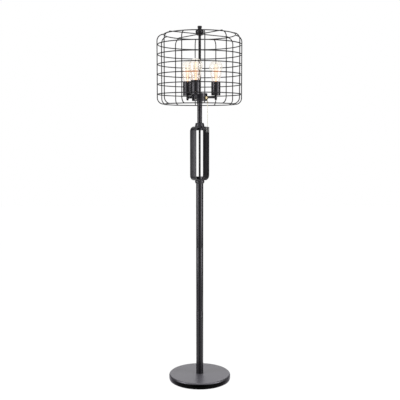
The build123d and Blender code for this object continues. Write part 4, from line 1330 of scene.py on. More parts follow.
@dataclass
class StrapLoop(SubAssembly):
    """The open loop of bent strap, its collars, bosses and rod, and the stem above it."""

    angle: float = 45.0
    width: float = 84.0
    corner: float = 22.0
    strap_width: float = 35.0
    strap: float = 5.0
    strap_edge: float = 0.9
    bend_steps: int = 16
    lower_collar: Point3 = (17.0, 20.6, 19.3)
    upper_collar: Point2 = (21.0, 17.5)
    spigot: float = 12.0
    spigot_radius: float = 14.2
    rod_radius: float = 4.5
    rod_bore: float = 3.0
    rod_hole: float = 4.55
    rod_grip: float = 13.0
    boss_radius: float = 15.25
    boss_height: float = 11.5
    stem_radius: float = 10.5
    stem_bore: float = 9.3
    stem_spigot: float = 9.2
    coupling_bore: float = 5.05
    coupling_radius: float = 12.5

    def build(self) -> None:
        """Build the loop and everything between the pole and the hub."""
        self.build_collars()
        self.build_strap()
        self.build_bosses()
        self.build_stem()

    def build_collars(self) -> None:
        """Build the round lower collar and the tapered upper collar."""
        foot, top = LEVELS.pole_top, LEVELS.loop_foot
        low, middle, high = self.lower_collar
        section = arc_through((low, foot), (middle, (foot + top) / 2), (high, top), 14)
        section += [(self.rod_hole, top), (self.rod_hole, foot - self.spigot),
                    (self.spigot_radius, foot - self.spigot), (self.spigot_radius, foot)]
        Draft().lathe(section).piece("collar_lower_turned", Finishes.COLLAR, ["lower_collar"])
        foot, top = LEVELS.loop_top, LEVELS.stem_foot
        low, high = self.upper_collar
        section = rounded([(self.rod_hole, foot), (low, foot, 0.7), (high, top, 1.3), (self.stem_spigot, top),
                           (self.stem_spigot, top + self.spigot, 0.5), (self.rod_hole, top + self.spigot)])
        Draft().lathe(section).piece("collar_upper_turned", Finishes.COLLAR, ["upper_collar"])

    def build_strap(self) -> None:
        """Build the strap, bent into a loop and rounded along its edges."""
        thick, wide, edge = self.strap / 2, self.strap_width / 2, self.strap_edge
        half_wide = self.width / 2 - thick
        middle = (LEVELS.loop_foot + LEVELS.loop_top) / 2
        half_tall = (LEVELS.loop_top - LEVELS.loop_foot) / 2 - thick
        bend = self.corner - thick
        x, y = around(self.angle, 1.0)
        across = Vector((-y, x, 0))
        section = rounded_box(-thick, thick, (-wide, wide), (edge, edge, edge, edge))
        rows = []
        for turn in range(4):
            side = (1 if turn in (0, 3) else -1, 1 if turn < 2 else -1)
            centre = (side[0] * (half_wide - bend), side[1] * (half_tall - bend))
            for step in range(self.bend_steps + 1):
                lean = radians(90 * turn + 90 * step / self.bend_steps)
                normal = Vector((x * cos(lean), y * cos(lean), sin(lean)))
                spot = Vector((x * centre[0], y * centre[0], middle + centre[1])) + normal * bend
                rows.append([spot + normal * out + across * along for out, along in section])
        draft = Draft()
        draft.skin(rows, True)
        holes = [(Cut.REMOVE, Draft().bar(self.rod_hole, (-8, 8), standing(height=height)))
                 for height in (LEVELS.loop_foot + thick, LEVELS.loop_top - thick)]
        data = combine("strap_loop_bent", draft, holes)
        adopt(data, "strap_loop_bent", Finishes.STRAP, ["strap_loop"])

    def build_bosses(self) -> None:
        """Build the two bosses inside the loop, and the rod between them."""
        draft = Draft()
        for foot in (LEVELS.loop_foot + self.strap, LEVELS.loop_top - self.strap - self.boss_height):
            draft.lathe(rounded_box(self.rod_hole, self.boss_radius, (foot, foot + self.boss_height),
                                    (0, 1.0, 1.0, 0.4)))
        draft.piece("loop_bosses_turned", Finishes.COLLAR, ["loop_nuts"])
        foot, top = LEVELS.loop_foot - self.rod_grip, LEVELS.loop_top + self.rod_grip
        section = [(self.rod_bore, foot), (self.rod_radius, foot), (self.rod_radius, top),
                   (self.rod_bore, top)]
        Draft().lathe(section, turns=48).piece("loop_rod_drawn", Finishes.ROD, ["loop_rod"])

    def build_stem(self) -> None:
        """Build the stem tube and the coupling that widens to the hub."""
        section = rounded_box(self.stem_bore, self.stem_radius, (LEVELS.stem_foot, LEVELS.stem_top),
                              (0, 0.3, 0.4, 0))
        Draft().lathe(section).piece("stem_tube", Finishes.POLE, ["upper_stem"])
        foot, seat, top = LEVELS.stem_top - self.spigot, LEVELS.stem_top, LEVELS.hub_foot
        section = rounded([(self.coupling_bore, foot), (self.stem_spigot, foot, 0.5),
                           (self.stem_spigot, seat), (self.stem_radius, seat, 0.4),
                           (self.coupling_radius, top, 0.3), (self.coupling_bore, top)])
        Draft().lathe(section).piece("stem_coupling_turned", Finishes.COLLAR, ["stem_coupling"])


@dataclass
class Cluster(SubAssembly):
    """The round body that carries the arms, and its cover."""

    radius: float = 33.5
    wall: float = 2.0
    edge: float = 2.2
    pipe_hole: float = 5.1
    arm_radius: float = 4.0
    arm_start: float = 28.12
    arm_bore: float = 3.2
    end_radius: float = 5.5
    end_drop: float = 5.5
    end_rise: float = 9.0
    fit: float = 0.1
    plug: float = 1.5
    switch_radius: float = 5.0
    drilled: Point2 = (20.0, 45.0)
    pipe_radius: float = 3.1
    pipe_bore: float = 2.0
    pipe_reach: Point2 = (12.0, 17.0)
    nut_bore: float = 3.15
    low_nut: Point2 = (4.9, 4.5)
    cup_nut: Point2 = (6.0, 3.8)
    cup_floor: float = 1.2
    kept: dict[str, Finish] = field(default_factory=lambda: {
        "hub_nuts": Finishes.ZINC, "arm_nuts": Finishes.ZINC, "screw_shells": Finishes.ALUMINIUM,
        "centre_contacts": Finishes.BRASS})

    def build(self) -> None:
        """Build the body, the cover, the arms and their threaded pieces."""
        self.build_body()
        self.build_cover()
        for light, angle in LEVELS.lights:
            self.build_arm(light, angle)
        self.build_fixings()

    def build_body(self) -> None:
        """Build the cup-shaped body with its drilled side."""
        foot, rim, inside = LEVELS.hub_foot, LEVELS.hub_rim, self.radius - self.wall
        floor = foot + self.wall
        section = rounded([(self.pipe_hole, foot), (self.radius, foot, self.edge), (self.radius, rim, 0.35),
                           (inside, rim, 0.2), (inside, floor, 0.5), (self.pipe_hole, floor)])
        bores = [(angle, self.arm_radius, LEVELS.arms) for _, angle in LEVELS.lights]
        bores.append((LEVELS.switch_angle, self.switch_radius, LEVELS.switch))
        holes = [(Cut.REMOVE, Draft().bar(size + self.fit, self.drilled, facing_out(angle, 0, height)))
                 for angle, size, height in bores]
        data = combine("cluster_body_spun", Draft().lathe(section, turns=128), holes)
        adopt(data, "cluster_body_spun", Finishes.HUB, ["cluster_body"])

    def build_cover(self) -> None:
        """Build the cover that plugs into the body."""
        rim, top, foot = LEVELS.hub_rim, LEVELS.hub_top, LEVELS.hub_rim - self.plug
        inside = self.radius - self.wall - self.fit
        section = rounded([(self.pipe_hole, foot), (inside, foot, 0.3), (inside, rim),
                           (self.radius, rim, 0.35), (self.radius, top, 2.0), (self.pipe_hole, top)])
        Draft().lathe(section, turns=128).piece("cluster_cover_spun", Finishes.HUB, ["cluster_cover"])

    def build_arm(self, light: str, angle: float) -> None:
        """Build one arm.

        Args:
            light: The name of the light that it carries.
            angle: The arm's direction.
        """
        foot, top = LEVELS.arms - self.end_drop, LEVELS.arms + self.end_rise
        place = standing(angle, LEVELS.light_reach)
        barrel = Draft().lathe(rounded_box(0, self.end_radius, (foot, top), (0, 0.8, 0.4, 0)), place, 64)
        tube = Draft().bar(self.arm_radius, (self.arm_start, LEVELS.light_reach),
                           facing_out(angle, 0, LEVELS.arms))
        bore = Draft().bar(self.arm_bore, (foot - 2, top + 2), place, 40)
        data = combine(f"arm_tube_{light}", barrel, [(Cut.JOIN, tube), (Cut.REMOVE, bore)])
        adopt(data, f"arm_tube_{light}", Finishes.HUB, [f"arm_{light}"])

    def build_fixings(self) -> None:
        """Build the threaded pipes through the arms' ends, and their nuts."""
        pipes, nuts = Draft(), Draft()
        for _, angle in LEVELS.lights:
            place = standing(angle, LEVELS.light_reach)
            down, up = self.pipe_reach
            pipes.thread(self.pipe_radius, 0.3, 0.9, (LEVELS.arms - down, LEVELS.arms + up), place, 40,
                         self.pipe_bore)
            seats = ((self.low_nut, LEVELS.arms - self.end_drop - self.low_nut[1]),
                     (self.cup_nut, LEVELS.cup_foot + self.cup_floor))
            for (corner, thickness), height in seats:
                nuts.nut(corner, self.nut_bore, thickness, place @ standing(height=height))
        pipes.piece("socket_pipes_threaded", Finishes.PIPE, ["socket_nipples"])
        nuts.piece("socket_nuts_crowned", Finishes.CUP, ["socket_nuts"])


@dataclass
class Light(SubAssembly):
    """One light: its cup, its lampholder and its bulb."""

    name: str = "front"
    angle: float = -103.2
    body: Body = Body.BULB_FRONT
    cup_radius: float = 20.0
    cup_wall: float = 0.9
    cup_height: float = 59.5
    cup_hole: float = 3.2
    cup_floor: float = 1.2
    cup_edge: float = 0.44
    holder_radius: float = 18.4
    holder_bore: float = 14.6
    holder_lift: float = 5.0
    holder_height: float = 49.0
    holder_floor: Point2 = (3.6, 8.0)
    holder_holes: Point2 = (2.0, 3.7)
    thread_radius: float = 13.2
    thread_depth: float = 0.75
    thread_span: Point2 = (5.0, 27.5)
    pitch: float = 3.63
    cap_bore: float = 12.2
    insulator_span: Point2 = (1.4, 18.4)
    insulator_radii: Point2 = (4.6, 12.15)
    contact_radius: float = 4.5
    contact_height: float = 1.5
    bulb_length: float = 135.5
    glass_radius: float = 29.0
    neck_radius: float = 12.1
    neck_length: float = 11.0
    neck_blend: float = 40.0
    glass_wall: float = 0.9
    strands: int = 10
    wire: float = 0.4
    hook_wire: float = 0.2
    lead_wire: float = 0.35
    low_ring: Point2 = (5.0, 41.0)
    high_ring: Point2 = (11.0, 98.0)

    @property
    def place(self) -> Matrix:
        """The upright frame of the light's own axis."""
        return standing(self.angle, LEVELS.light_reach)

    @property
    def glass_foot(self) -> float:
        """The height of the glass's open foot."""
        return LEVELS.bulb_foot + 18.8

    def build(self) -> None:
        """Build the cup, the holder and the bulb."""
        self.build_cup()
        self.build_holder()
        self.build_cap()
        self.build_glass()
        self.build_stem()
        self.build_filament()

    def build_cup(self) -> None:
        """Build the tall socket cup with its rounded rim."""
        foot, radius, edge = LEVELS.cup_foot, self.cup_radius, self.cup_edge
        top, inside, floor = foot + self.cup_height, radius - self.cup_wall, foot + self.cup_floor
        section = rounded([(self.cup_hole, foot), (radius, foot, 1.4), (radius, top, edge),
                           (inside, top, edge), (inside, floor, 0.8), (self.cup_hole, floor)])
        cup = Draft().lathe(section, self.place)
        cup.piece(f"cup_{self.name}_spun", Finishes.CUP, [f"socket_cup_{self.name}"])

    def build_holder(self) -> None:
        """Build the ceramic lampholder inside the cup."""
        foot = LEVELS.cup_foot + self.holder_lift
        top = foot + self.holder_height
        step, floor = (foot + rise for rise in self.holder_floor)
        bore, seat = self.holder_holes
        section = rounded([(bore, step), (seat, step), (seat, foot), (self.holder_radius, foot, 0.6),
                           (self.holder_radius, top, 1.2), (self.holder_bore, top, 0.9),
                           (self.holder_bore, floor, 0.4), (bore, floor)])
        holder = Draft().lathe(section, self.place)
        holder.piece(f"holder_{self.name}_glazed", Finishes.CERAMIC, [f"lampholder_{self.name}"])

    def build_cap(self) -> None:
        """Build the bulb's threaded cap, its glass insulator and its contact."""
        foot, node = LEVELS.bulb_foot, [f"bulb_cap_{self.name}"]
        low, high = (foot + rise for rise in self.thread_span)
        shell = Draft().thread(self.thread_radius, self.thread_depth, self.pitch, (low, high),
                               self.place, 72, self.cap_bore)
        shell.piece(f"bulb_{self.name}_thread", Finishes.NICKEL, node, self.body, 50.0)
        tip, top = (foot + rise for rise in self.insulator_span)
        narrow, wide = self.insulator_radii
        section = rounded([(0, tip), (narrow, tip), (wide, low, 0.5), (wide, top), (0, top)])
        insulator = Draft().lathe(section, self.place, 72)
        insulator.piece(f"bulb_{self.name}_insulator", Finishes.PHENOLIC, node, self.body)
        section = rounded_box(0, self.contact_radius, (foot, foot + self.contact_height),
                              (0, 0.8, 0.2, 0))
        contact = Draft().lathe(section, self.place, 48)
        contact.piece(f"bulb_{self.name}_contact", Finishes.NICKEL, node, self.body)

    def outline(self, inset: float) -> list[Point2]:
        """The glass's half outline, from the crown to the foot.

        Args:
            inset: How far the outline lies inside the outer surface.

        Returns:
            Its points, starting on the axis.
        """
        neck, dome = self.neck_radius - inset, self.glass_radius - inset
        neck_top = self.glass_foot + self.neck_length
        centre = LEVELS.bulb_foot + self.bulb_length - self.glass_radius
        reach = hypot(neck, centre - neck_top)
        turn = degrees(atan2(neck_top - centre, neck) + acos(dome / reach))
        crown = arc((0, centre), dome, 90, turn, 36)
        crown[0] = (0.0, centre + dome)
        lower = rounded([crown[-1], (neck, neck_top, self.neck_blend - inset),
                         (neck, self.glass_foot)], 10)
        return crown + lower[1:]

    def build_glass(self) -> None:
        """Build the blown glass with its real wall."""
        section = self.outline(0.0) + self.outline(self.glass_wall)[::-1]
        glass = Draft().lathe(section, self.place)
        glass.piece(f"bulb_{self.name}_glass", Finishes.GLASS, [f"bulb_glass_{self.name}"], self.body, 60.0)

    def build_stem(self) -> None:
        """Build the glass stem: its flared foot, its pinch and the rod with a bead at its end."""
        foot = self.glass_foot
        tip = foot + self.high_ring[1]
        section = [(0, foot + 0.2), (11.0, foot + 0.2), (11.0, foot + 0.9)]
        section += arc_through((10.6, foot + 1.2), (5.6, foot + 4.2), (4.0, foot + 12.0), 10)
        section += [(4.0, foot + 26.0), (3.1, foot + 30.0), (1.5, foot + 33.0), (1.2, foot + 36.0),
                    (1.2, tip - 1.5)]
        section += arc((0, tip + 0.6), 1.8, -55, 90, 8)
        section[-1] = (0.0, tip + 2.4)
        stem = Draft().lathe(section, self.place, 48)
        stem.piece(f"bulb_{self.name}_stem", Finishes.STEM, [f"bulb_mount_{self.name}"], self.body, 60.0)

    def build_filament(self) -> None:
        """Build the zigzag filament strung between two rings of hooks, and its two leads."""
        recipe = SHOP.repeated_wire()
        node = [f"bulb_mount_{self.name}"]
        (low, low_rise), (high, high_rise) = self.low_ring, self.high_ring
        foot, top = self.glass_foot + low_rise, self.glass_foot + high_rise
        step = 360 / self.strands
        zigzag = [(*around(0, low), foot), (*around(step / 2, high), top), (*around(step, low), foot)]
        spokes = [[(*around(step / 2, 1.0), top), (*around(step / 2, high), top)],
                  [(*around(0, 1.0), foot), (*around(0, low), foot)]]
        lead = [(1.6, 0, self.glass_foot + 30), (2.2, 0, self.glass_foot + 34), (low, 0, foot)]
        glowing = SHOP.make(recipe, f"bulb_{self.name}_filament", [zigzag], Finishes.FILAMENT,
                            self.body, node, Wire_radius=self.wire * MM, Sides=8,
                            Count=self.strands, Turn=radians(step))
        hooks = SHOP.make(recipe, f"bulb_{self.name}_hooks", spokes, Finishes.NICKEL, self.body, node,
                          Wire_radius=self.hook_wire * MM, Sides=6, Count=self.strands,
                          Turn=radians(step))
        leads = SHOP.make(recipe, f"bulb_{self.name}_leads", [lead], Finishes.NICKEL, self.body, node,
                          Wire_radius=self.lead_wire * MM, Sides=8, Count=2, Turn=pi)
        for piece in (glowing, hooks, leads):
            piece.data.transform(Matrix.Translation(self.place.translation * MM))


@dataclass
class PullSwitch(SubAssembly):
    """The brass nozzle and the ball chain of the pull switch."""

    axis_reach: float = 46.0
    nozzle_radius: float = 5.0
    nozzle_bore: float = 1.8
    nozzle_span: Point2 = (27.0, 44.5)
    lip_radius: float = 7.5
    lip_depth: float = 3.0
    fit: float = 0.05
    nut_corner: float = 8.5
    nut_thickness: float = 4.0
    hub_radius: float = 33.5
    pitch: float = 3.3
    bead: float = 1.2
    first_bead: float = 1245.5
    switch_beads: int = 5
    connector: float = 7.0
    bell_radius: float = 2.4
    bell_bore: float = 1.7
    bell_depth: float = 3.2
    pull_first: float = 1227.0
    pull_beads: int = 33
    fob_span: Point2 = (1099.9, 1123.9)
    fob_radius: float = 7.0
    fob_depth: float = 4.5
    kept: dict[str, Finish] = field(default_factory=lambda: {
        "switch_case": Finishes.PHENOLIC, "switch_lever": Finishes.BRASS, "chain_tail": Finishes.CHAIN})

    @property
    def place(self) -> Matrix:
        """The upright frame of the hanging chain."""
        return standing(LEVELS.switch_angle, self.axis_reach)

    def build(self) -> None:
        """Build the nozzle, its nut, the chain and the fob."""
        self.build_nozzle()
        self.build_chain()
        self.build_fob()

    def build_nozzle(self) -> None:
        """Build the threaded nozzle with its trumpet lip, and its nut."""
        start, end = self.nozzle_span
        place = facing_out(LEVELS.switch_angle, 0, LEVELS.switch)
        barrel = Draft().thread(self.nozzle_radius, 0.45, 1.0, (start, end - 1.4), place, 56,
                                self.nozzle_bore)
        section = rounded([(self.nozzle_bore, end - self.lip_depth), (4.4, end - self.lip_depth),
                           (4.6, end - 2.2, 0.2), (self.lip_radius, end, 0.5),
                           (self.nozzle_bore, end, 0.9)])
        data = combine("nozzle_brass", barrel, [(Cut.JOIN, Draft().lathe(section, place, 56))])
        adopt(data, "nozzle_brass", Finishes.BRASS, ["switch_nozzle"], crease=40.0)
        nut = Draft().nut(self.nut_corner, self.nozzle_radius + self.fit, self.nut_thickness,
                          facing_out(LEVELS.switch_angle, self.hub_radius, LEVELS.switch))
        nut.piece("nozzle_nut_crowned", Finishes.BRASS, ["nozzle_nut"], crease=30.0)

    def build_chain(self) -> None:
        """Build the short switch chain with its bell connector, and the long pull chain."""
        recipe = SHOP.ball_chain()
        x, y = around(LEVELS.switch_angle, self.axis_reach)
        last = self.first_bead - (self.switch_beads - 1) * self.pitch
        end = self.pull_first - (self.pull_beads - 1) * self.pitch
        SHOP.make(recipe, "switch_chain_beads", [((x, y, self.first_bead), (x, y, last))],
                  Finishes.CHAIN, Body.SWITCH_CHAIN, ["switch_chain"], Beads=self.switch_beads,
                  Bead_radius=self.bead * MM)
        foot, radius, mouth = last - self.connector, self.bell_radius, self.bell_bore
        section = rounded([(0, foot + self.bell_depth), (mouth, foot + self.bell_depth, 0.5),
                           (mouth, foot, 0.2), (radius, foot, 0.3), (radius, last - 2.4, 1.2),
                           (self.bead, last, 0.3), (0, last)])
        bell = Draft().lathe(section, self.place, 40)
        bell.piece("chain_connector_bell", Finishes.BRASS, ["switch_chain"], Body.SWITCH_CHAIN)
        SHOP.make(recipe, "pull_chain_beads", [((x, y, self.pull_first), (x, y, end))],
                  Finishes.CHAIN, Body.HANGING_CHAIN, ["pull_chain"], Beads=self.pull_beads,
                  Bead_radius=self.bead * MM)

    def build_fob(self) -> None:
        """Build the turned fob at the chain's end."""
        foot, top = self.fob_span
        bore, radius = self.bead + 0.3, self.fob_radius
        floor = top - self.fob_depth
        section = rounded([(0, foot), (radius, foot, 1.6), (radius, top, 1.8), (bore, top, 0.4),
                           (bore, floor, 0.3), (0, floor)])
        fob = Draft().lathe(section, self.place, 72)
        fob.piece("chain_fob_turned", Finishes.FOB, ["chain_fob"], Body.HANGING_CHAIN)


@dataclass
class CentreRod(SubAssembly):
    """The rod up the middle of the cage, the seat and the finial."""

    rod_radius: float = 5.6
    spigot_radius: float = 5.0
    spigot: float = 14.0
    flange_radius: float = 8.5
    flange: float = 4.0
    stud_radius: float = 3.0
    stud_length: float = 26.5
    fit: float = 0.05
    seat_radii: Point2 = (11.0, 14.0)
    bore_depth: float = 20.0
    ball_radius: float = 17.8
    ball_rise: float = 7.4
    shoulder_radius: float = 14.5
    waist: Point2 = (7.8, 21.5)
    cap_radius: float = 9.3
    cap_height: float = 8.5
    height: float = 32.0

    def build(self) -> None:
        """Build the rod, the seat and the finial."""
        self.build_rod()
        self.build_seat()
        self.build_finial()

    def build_rod(self) -> None:
        """Build the rod with its foot flange and its threaded stud."""
        foot, top = LEVELS.hub_top, LEVELS.seat_foot
        end, rise = foot - self.spigot, foot + self.flange
        section = rounded([(0, end), (self.spigot_radius, end, 0.5), (self.spigot_radius, foot),
                           (self.flange_radius, foot, 0.3), (self.flange_radius, rise, 1.0),
                           (self.rod_radius, rise, 0.5), (self.rod_radius, top, 0.4), (0, top)])
        rod = Draft().lathe(section, turns=64)
        stud = Draft().thread(self.stud_radius, 0.35, 0.8, (top - 2, top + self.stud_length), turns=40)
        data = combine("centre_rod_turned", rod, [(Cut.JOIN, stud)])
        adopt(data, "centre_rod_turned", Finishes.ROD, ["centre_rod"], crease=45.0)

    def build_seat(self) -> None:
        """Build the seat that the cage rests on."""
        foot, top, hole = LEVELS.seat_foot, LEVELS.spider_foot, self.stud_radius + self.fit
        low, high = self.seat_radii
        section = rounded([(hole, foot, 0.2), (low, foot, 0.6), (high, (foot + top) / 2, 0.8),
                           (high, top, 0.5), (hole, top, 0.2)])
        Draft().lathe(section, turns=72).piece("cage_seat_turned", Finishes.FINIAL, ["cage_seat"])

    def build_finial(self) -> None:
        """Build the ball finial with its hollow neck and its cap."""
        foot = LEVELS.finial_foot
        top, centre = foot + self.height, foot + self.ball_rise
        start = (sqrt(self.ball_radius ** 2 - self.ball_rise ** 2), foot)
        shoulder = (self.shoulder_radius, centre + sqrt(self.ball_radius ** 2 - self.shoulder_radius ** 2))
        waist = (self.waist[0], foot + self.waist[1])
        hollow = ((shoulder[0] + 3 * waist[0]) / 4, (3 * shoulder[1] + waist[1]) / 4)
        cap = [waist, (self.cap_radius, top - self.cap_height, 0.8), (self.cap_radius, top, 1.3), (0, top)]
        section = [(0, foot), *arc_through(start, (self.ball_radius, centre), shoulder, 28)]
        section += arc_through(shoulder, hollow, waist, 14)[1:]
        section += rounded(cap, 5)[1:]
        solid = Draft().lathe(section)
        hole = Draft().bar(self.stud_radius + self.fit, (foot - 2, foot + self.bore_depth), turns=40)
        data = combine("finial_turned", solid, [(Cut.REMOVE, hole)])
        adopt(data, "finial_turned", Finishes.FINIAL, ["finial"], Body.FINIAL, 40.0)


@dataclass
class Cage(SubAssembly):
    """The wire cage: rings, hoops, ribs and the spider that hangs it on the seat."""

    wire: float = 2.15
    arm_wire: float = 2.0
    wire_sides: int = 14
    bend_steps: int = 14
    rib_radius: float = 182.5
    rib_count: int = 12
    rib_start: float = 6.5
    top_turn: float = 29.0
    low_turn: float = 27.0
    hoop_radius: float = 179.9
    hoop_count: int = 6
    hoop_pitch: float = 42.0
    low_level: float = 1221.0
    spider_count: int = 4
    spider_start: float = 36.5
    spider_root: float = 12.25
    hub_radius: float = 14.0
    hub_bore: float = 3.3
    weld: float = 1.9
    root_weld: float = 2.5

    @property
    def top_ring(self) -> float:
        """The radius of the top end ring."""
        return self.rib_radius - self.top_turn

    @property
    def low_ring(self) -> float:
        """The radius of the bottom end ring."""
        return self.rib_radius - self.low_turn

    @property
    def hoop_levels(self) -> list[float]:
        """The heights of the six hoops."""
        return [LEVELS.cage_top - self.hoop_pitch * step for step in range(1, self.hoop_count + 1)]

    def build(self) -> None:
        """Build the rings, the hoops, the ribs, the spider and the welds."""
        self.build_rings()
        self.build_ribs()
        self.build_spider()
        self.build_welds()

    def build_rings(self) -> None:
        """Build the two end rings and the six hoops."""
        recipe = SHOP.repeated_wire()
        ends = [[(*around(5 * step, radius), level) for step in range(72)]
                for radius, level in ((self.top_ring, LEVELS.cage_top), (self.low_ring, self.low_level))]
        SHOP.make(recipe, "cage_end_rings_wire", ends, Finishes.WIRE, Body.CAGE, ["cage_end_rings"],
                  True, Wire_radius=self.wire * MM, Sides=self.wire_sides)
        hoop = [(*around(360 * step / 128, self.hoop_radius), self.hoop_levels[0]) for step in range(128)]
        SHOP.make(recipe, "cage_hoops_wire", [hoop], Finishes.WIRE, Body.CAGE, ["cage_hoops"], True,
                  Wire_radius=self.wire * MM, Sides=self.wire_sides, Count=self.hoop_count,
                  Rise=-self.hoop_pitch * MM)

    def build_ribs(self) -> None:
        """Build the twelve ribs, each bent inwards at both ends."""
        bend = arc((self.top_ring, LEVELS.cage_top - self.top_turn), self.top_turn, 90, 0, self.bend_steps)
        bend += arc((self.low_ring, self.low_level + self.low_turn), self.low_turn, 0, -90, self.bend_steps)
        path = [(radius, 0, height) for radius, height in bend]
        SHOP.make(SHOP.repeated_wire(), "cage_ribs_wire", [path], Finishes.WIRE, Body.CAGE,
                  ["cage_ribs"], Wire_radius=self.wire * MM, Sides=self.wire_sides,
                  Count=self.rib_count, Start_angle=radians(self.rib_start),
                  Turn=2 * pi / self.rib_count)

    def build_spider(self) -> None:
        """Build the spider's ring and its four arms."""
        foot, top = LEVELS.spider_foot, LEVELS.finial_foot
        section = rounded_box(self.hub_bore, self.hub_radius, (foot, top), (0.2, 0.8, 0.8, 0.2))
        ring = Draft().lathe(section, turns=72)
        ring.piece("cage_spider_ring", Finishes.WIRE, ["cage_spider"], Body.CAGE)
        path = [(self.spider_root, 0, LEVELS.spider), (self.top_ring + self.arm_wire, 0, LEVELS.spider)]
        SHOP.make(SHOP.repeated_wire(), "cage_spider_arms", [path], Finishes.WIRE, Body.CAGE,
                  ["cage_spider"], Wire_radius=self.arm_wire * MM, Sides=self.wire_sides,
                  Count=self.spider_count, Start_angle=radians(self.spider_start),
                  Turn=2 * pi / self.spider_count)

    def build_welds(self) -> None:
        """Build the resistance welds where wires cross, and the fillet welds at the spider's ring."""
        cross = (self.rib_radius + self.hoop_radius) / 2
        angles = [self.rib_start + 360 * rib / self.rib_count for rib in range(self.rib_count)]
        points = [(*around(angle, cross), level) for angle in angles for level in self.hoop_levels]
        points += [(*around(angle, self.top_ring), LEVELS.cage_top) for angle in angles]
        points += [(*around(angle, self.low_ring), self.low_level) for angle in angles]
        arms = [self.spider_start + 360 * arm / self.spider_count for arm in range(self.spider_count)]
        points += [(*around(angle, self.top_ring), (LEVELS.cage_top + LEVELS.spider) / 2) for angle in arms]
        recipe = SHOP.weld_beads()
        SHOP.make(recipe, "cage_welds", [[point] for point in points], Finishes.WIRE, Body.CAGE,
                  Bead_radius=self.weld * MM, Seed=7)
        roots = [(*around(angle, self.hub_radius + 0.2), LEVELS.spider) for angle in arms]
        SHOP.make(recipe, "cage_spider_welds", [[point] for point in roots], Finishes.WIRE, Body.CAGE,
                  Bead_radius=self.root_weld * MM, Seed=11)


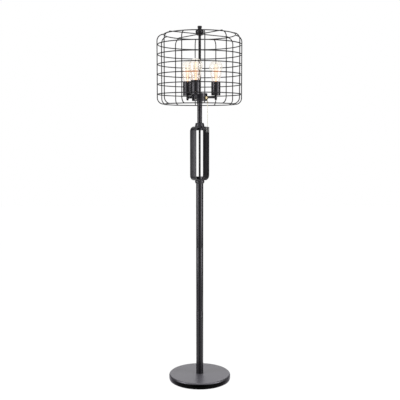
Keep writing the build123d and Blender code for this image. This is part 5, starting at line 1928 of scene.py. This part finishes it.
# ---------------- studio
@dataclass
class Studio:
    """The floor, the light and the camera."""

    floor_size: float = 14.0
    floor_level: float = -0.0005
    floor_glow: float = 1.1
    floor_share: float = 0.9
    camera_spot: Point3 = (0.0013, -3.03, 1.1085)
    camera_pitch: float = 5.7
    lens: float = 62.7
    sensor: float = 36.0
    box_angle: float = 68.0
    box_reach: float = 2.2
    box_height: float = 1.15
    box_size: Point2 = (1.2, 2.1)
    box_power: float = 42.0
    room: float = 0.36
    flag_ends: tuple[Point2, Point2] = ((0.95, -0.2), (2.9, 6.0))
    flag_height: float = 2.6
    card_half: float = 1.0
    card_y: float = -3.35
    carpet_end: Point2 = (0.05, -0.16)
    carpet_level: float = 0.001

    def build(self) -> None:
        """Build the floor, the lights, the world and the camera."""
        self.build_floor()
        self.build_world()
        for side in (-1, 1):
            self.build_soft_box(side)
        self.build_flags()
        self.build_camera()

    def build_floor(self) -> None:
        """Build the white floor, which keeps a faint shadow."""
        data = bpy.data.meshes.new("studio_floor")
        half, level = self.floor_size / 2, self.floor_level
        corners = [(x, y, level) for x, y in ((-half, -half), (half, -half), (half, half), (-half, half))]
        data.from_pydata(corners, [], [(0, 1, 2, 3)])
        floor = linked("studio_floor", data)
        material = bpy.data.materials.new("studio_floor")
        material.use_nodes = True
        graph = Graph(material.node_tree)
        graph.tree.nodes.clear()
        sweep = graph.add("ShaderNodeBsdfDiffuse", {"Color": (0.8, 0.8, 0.8, 1.0)})
        glow = graph.add("ShaderNodeEmission", {"Color": (1.0, 1.0, 1.0, 1.0),
                                                "Strength": self.floor_glow})
        clear = graph.math("MULTIPLY", self.clear_paths(graph), self.floor_share)
        mixed = graph.add("ShaderNodeMixShader", {0: clear})
        graph.tree.links.new(sweep.outputs[0], mixed.inputs[1])
        graph.tree.links.new(glow.outputs[0], mixed.inputs[2])
        end = graph.add("ShaderNodeOutputMaterial")
        graph.tree.links.new(mixed.outputs[0], end.inputs["Surface"])
        data.materials.append(material)

    @staticmethod
    def clear_paths(graph: Graph) -> Socket:
        """Tell the rays that show the white background from the rays that light the lamp.

        Args:
            graph: The graph of the floor's material or of the world.

        Returns:
            1 for camera, transmission and glossy rays, or else 0.
        """
        path = graph.add("ShaderNodeLightPath").outputs
        clear = graph.math("MAXIMUM", path["Is Camera Ray"], path["Is Transmission Ray"])
        return graph.math("MAXIMUM", clear, path["Is Glossy Ray"])

    def build_world(self) -> None:
        """Light the room evenly, with a white background for the camera and for reflections."""
        world = bpy.data.worlds.new("studio")
        world.use_nodes = True
        bpy.context.scene.world = world
        graph = Graph(world.node_tree)
        graph.tree.nodes.clear()
        level = graph.spread(self.clear_paths(graph), self.room, 1.0)
        light = graph.add("ShaderNodeBackground", {"Color": (1.0, 1.0, 1.0, 1.0), "Strength": level})
        end = graph.add("ShaderNodeOutputWorld")
        graph.tree.links.new(light.outputs[0], end.inputs["Surface"])

    def build_soft_box(self, side: int) -> None:
        """Build one tall soft box.

        Args:
            side: -1 for the left one, 1 for the right one.
        """
        name = f"soft_box_{'left' if side < 0 else 'right'}"
        lamp = bpy.data.lights.new(name, "AREA")
        lamp.shape = "RECTANGLE"
        lamp.size, lamp.size_y = self.box_size
        lamp.energy = self.box_power
        box = linked(name, lamp)
        x, y = around(-90 + side * self.box_angle, self.box_reach)
        box.location = (x, y, self.box_height)
        aim = Vector((0, 0, self.box_height)) - box.location
        box.rotation_euler = aim.to_track_quat("-Z", "Y").to_euler()

    def build_flags(self) -> None:
        """Build the flags: one on each side, one behind the camera and one on the floor before the lamp."""
        (near_x, near_y), (far_x, far_y) = self.flag_ends
        ends = {"left": ((-near_x, near_y), (-far_x, far_y)), "right": ((near_x, near_y), (far_x, far_y)),
                "front": ((-self.card_half, self.card_y), (self.card_half, self.card_y))}
        for name, (first, last) in ends.items():
            self.build_flag(name, [(*first, 0.0), (*last, 0.0), (*last, self.flag_height),
                                   (*first, self.flag_height)])
        half, near = self.carpet_end
        plan = ((-half, near), (half, near), (self.card_half, self.card_y),
                (-self.card_half, self.card_y))
        low = self.build_flag("floor", [(x, y, self.carpet_level) for x, y in plan])
        low.visible_shadow = False
        low.visible_diffuse = False

    def build_flag(self, side: str, corners: list[Point3]) -> bpy.types.Object:
        """Build one black flag, which the camera can't see and which keeps a part of the reflections dark.

        Args:
            side: Where it stands, for its name.
            corners: Its four corners.

        Returns:
            The flag.
        """
        data = bpy.data.meshes.new(f"studio_flag_{side}")
        data.from_pydata(corners, [], [(0, 1, 2, 3)])
        material = bpy.data.materials.get("studio_flag") or bpy.data.materials.new("studio_flag")
        material.use_nodes = True
        shader = material.node_tree.nodes["Principled BSDF"]
        Graph(material.node_tree).fill(shader, {"Base Color": (0.01, 0.01, 0.01, 1.0), "Roughness": 1.0})
        data.materials.append(material)
        flag = linked(f"studio_flag_{side}", data)
        flag.visible_camera = False
        flag.visible_transmission = False
        return flag

    def build_camera(self) -> None:
        """Set the camera where the photo was taken from."""
        data = bpy.data.cameras.new("photo_view")
        data.lens = self.lens
        data.sensor_width = self.sensor
        data.clip_end = 50.0
        camera = linked("photo_view", data)
        camera.location = self.camera_spot
        camera.rotation_euler = (radians(90 - self.camera_pitch), 0.0, 0.0)
        scene = bpy.context.scene
        scene.camera = camera
        scene.view_settings.view_transform = "Standard"


# ---------------- main
def main() -> None:
    """Build the lamp's sub-assemblies in order, then the studio."""
    logging.basicConfig(level=logging.INFO, format="%(name)s: %(message)s")
    bodies = {"front": Body.BULB_FRONT, "right": Body.BULB_RIGHT, "left": Body.BULB_LEFT}
    lights = [Light(name=name, angle=angle, body=bodies[name]) for name, angle in LEVELS.lights]
    for assembly in (Base(), Pole(), StrapLoop(), Cluster(), *lights, PullSwitch(), CentreRod(), Cage()):
        assembly.build()
        assembly.dress()
    Studio().build()


if __name__ == "__main__":
    main()
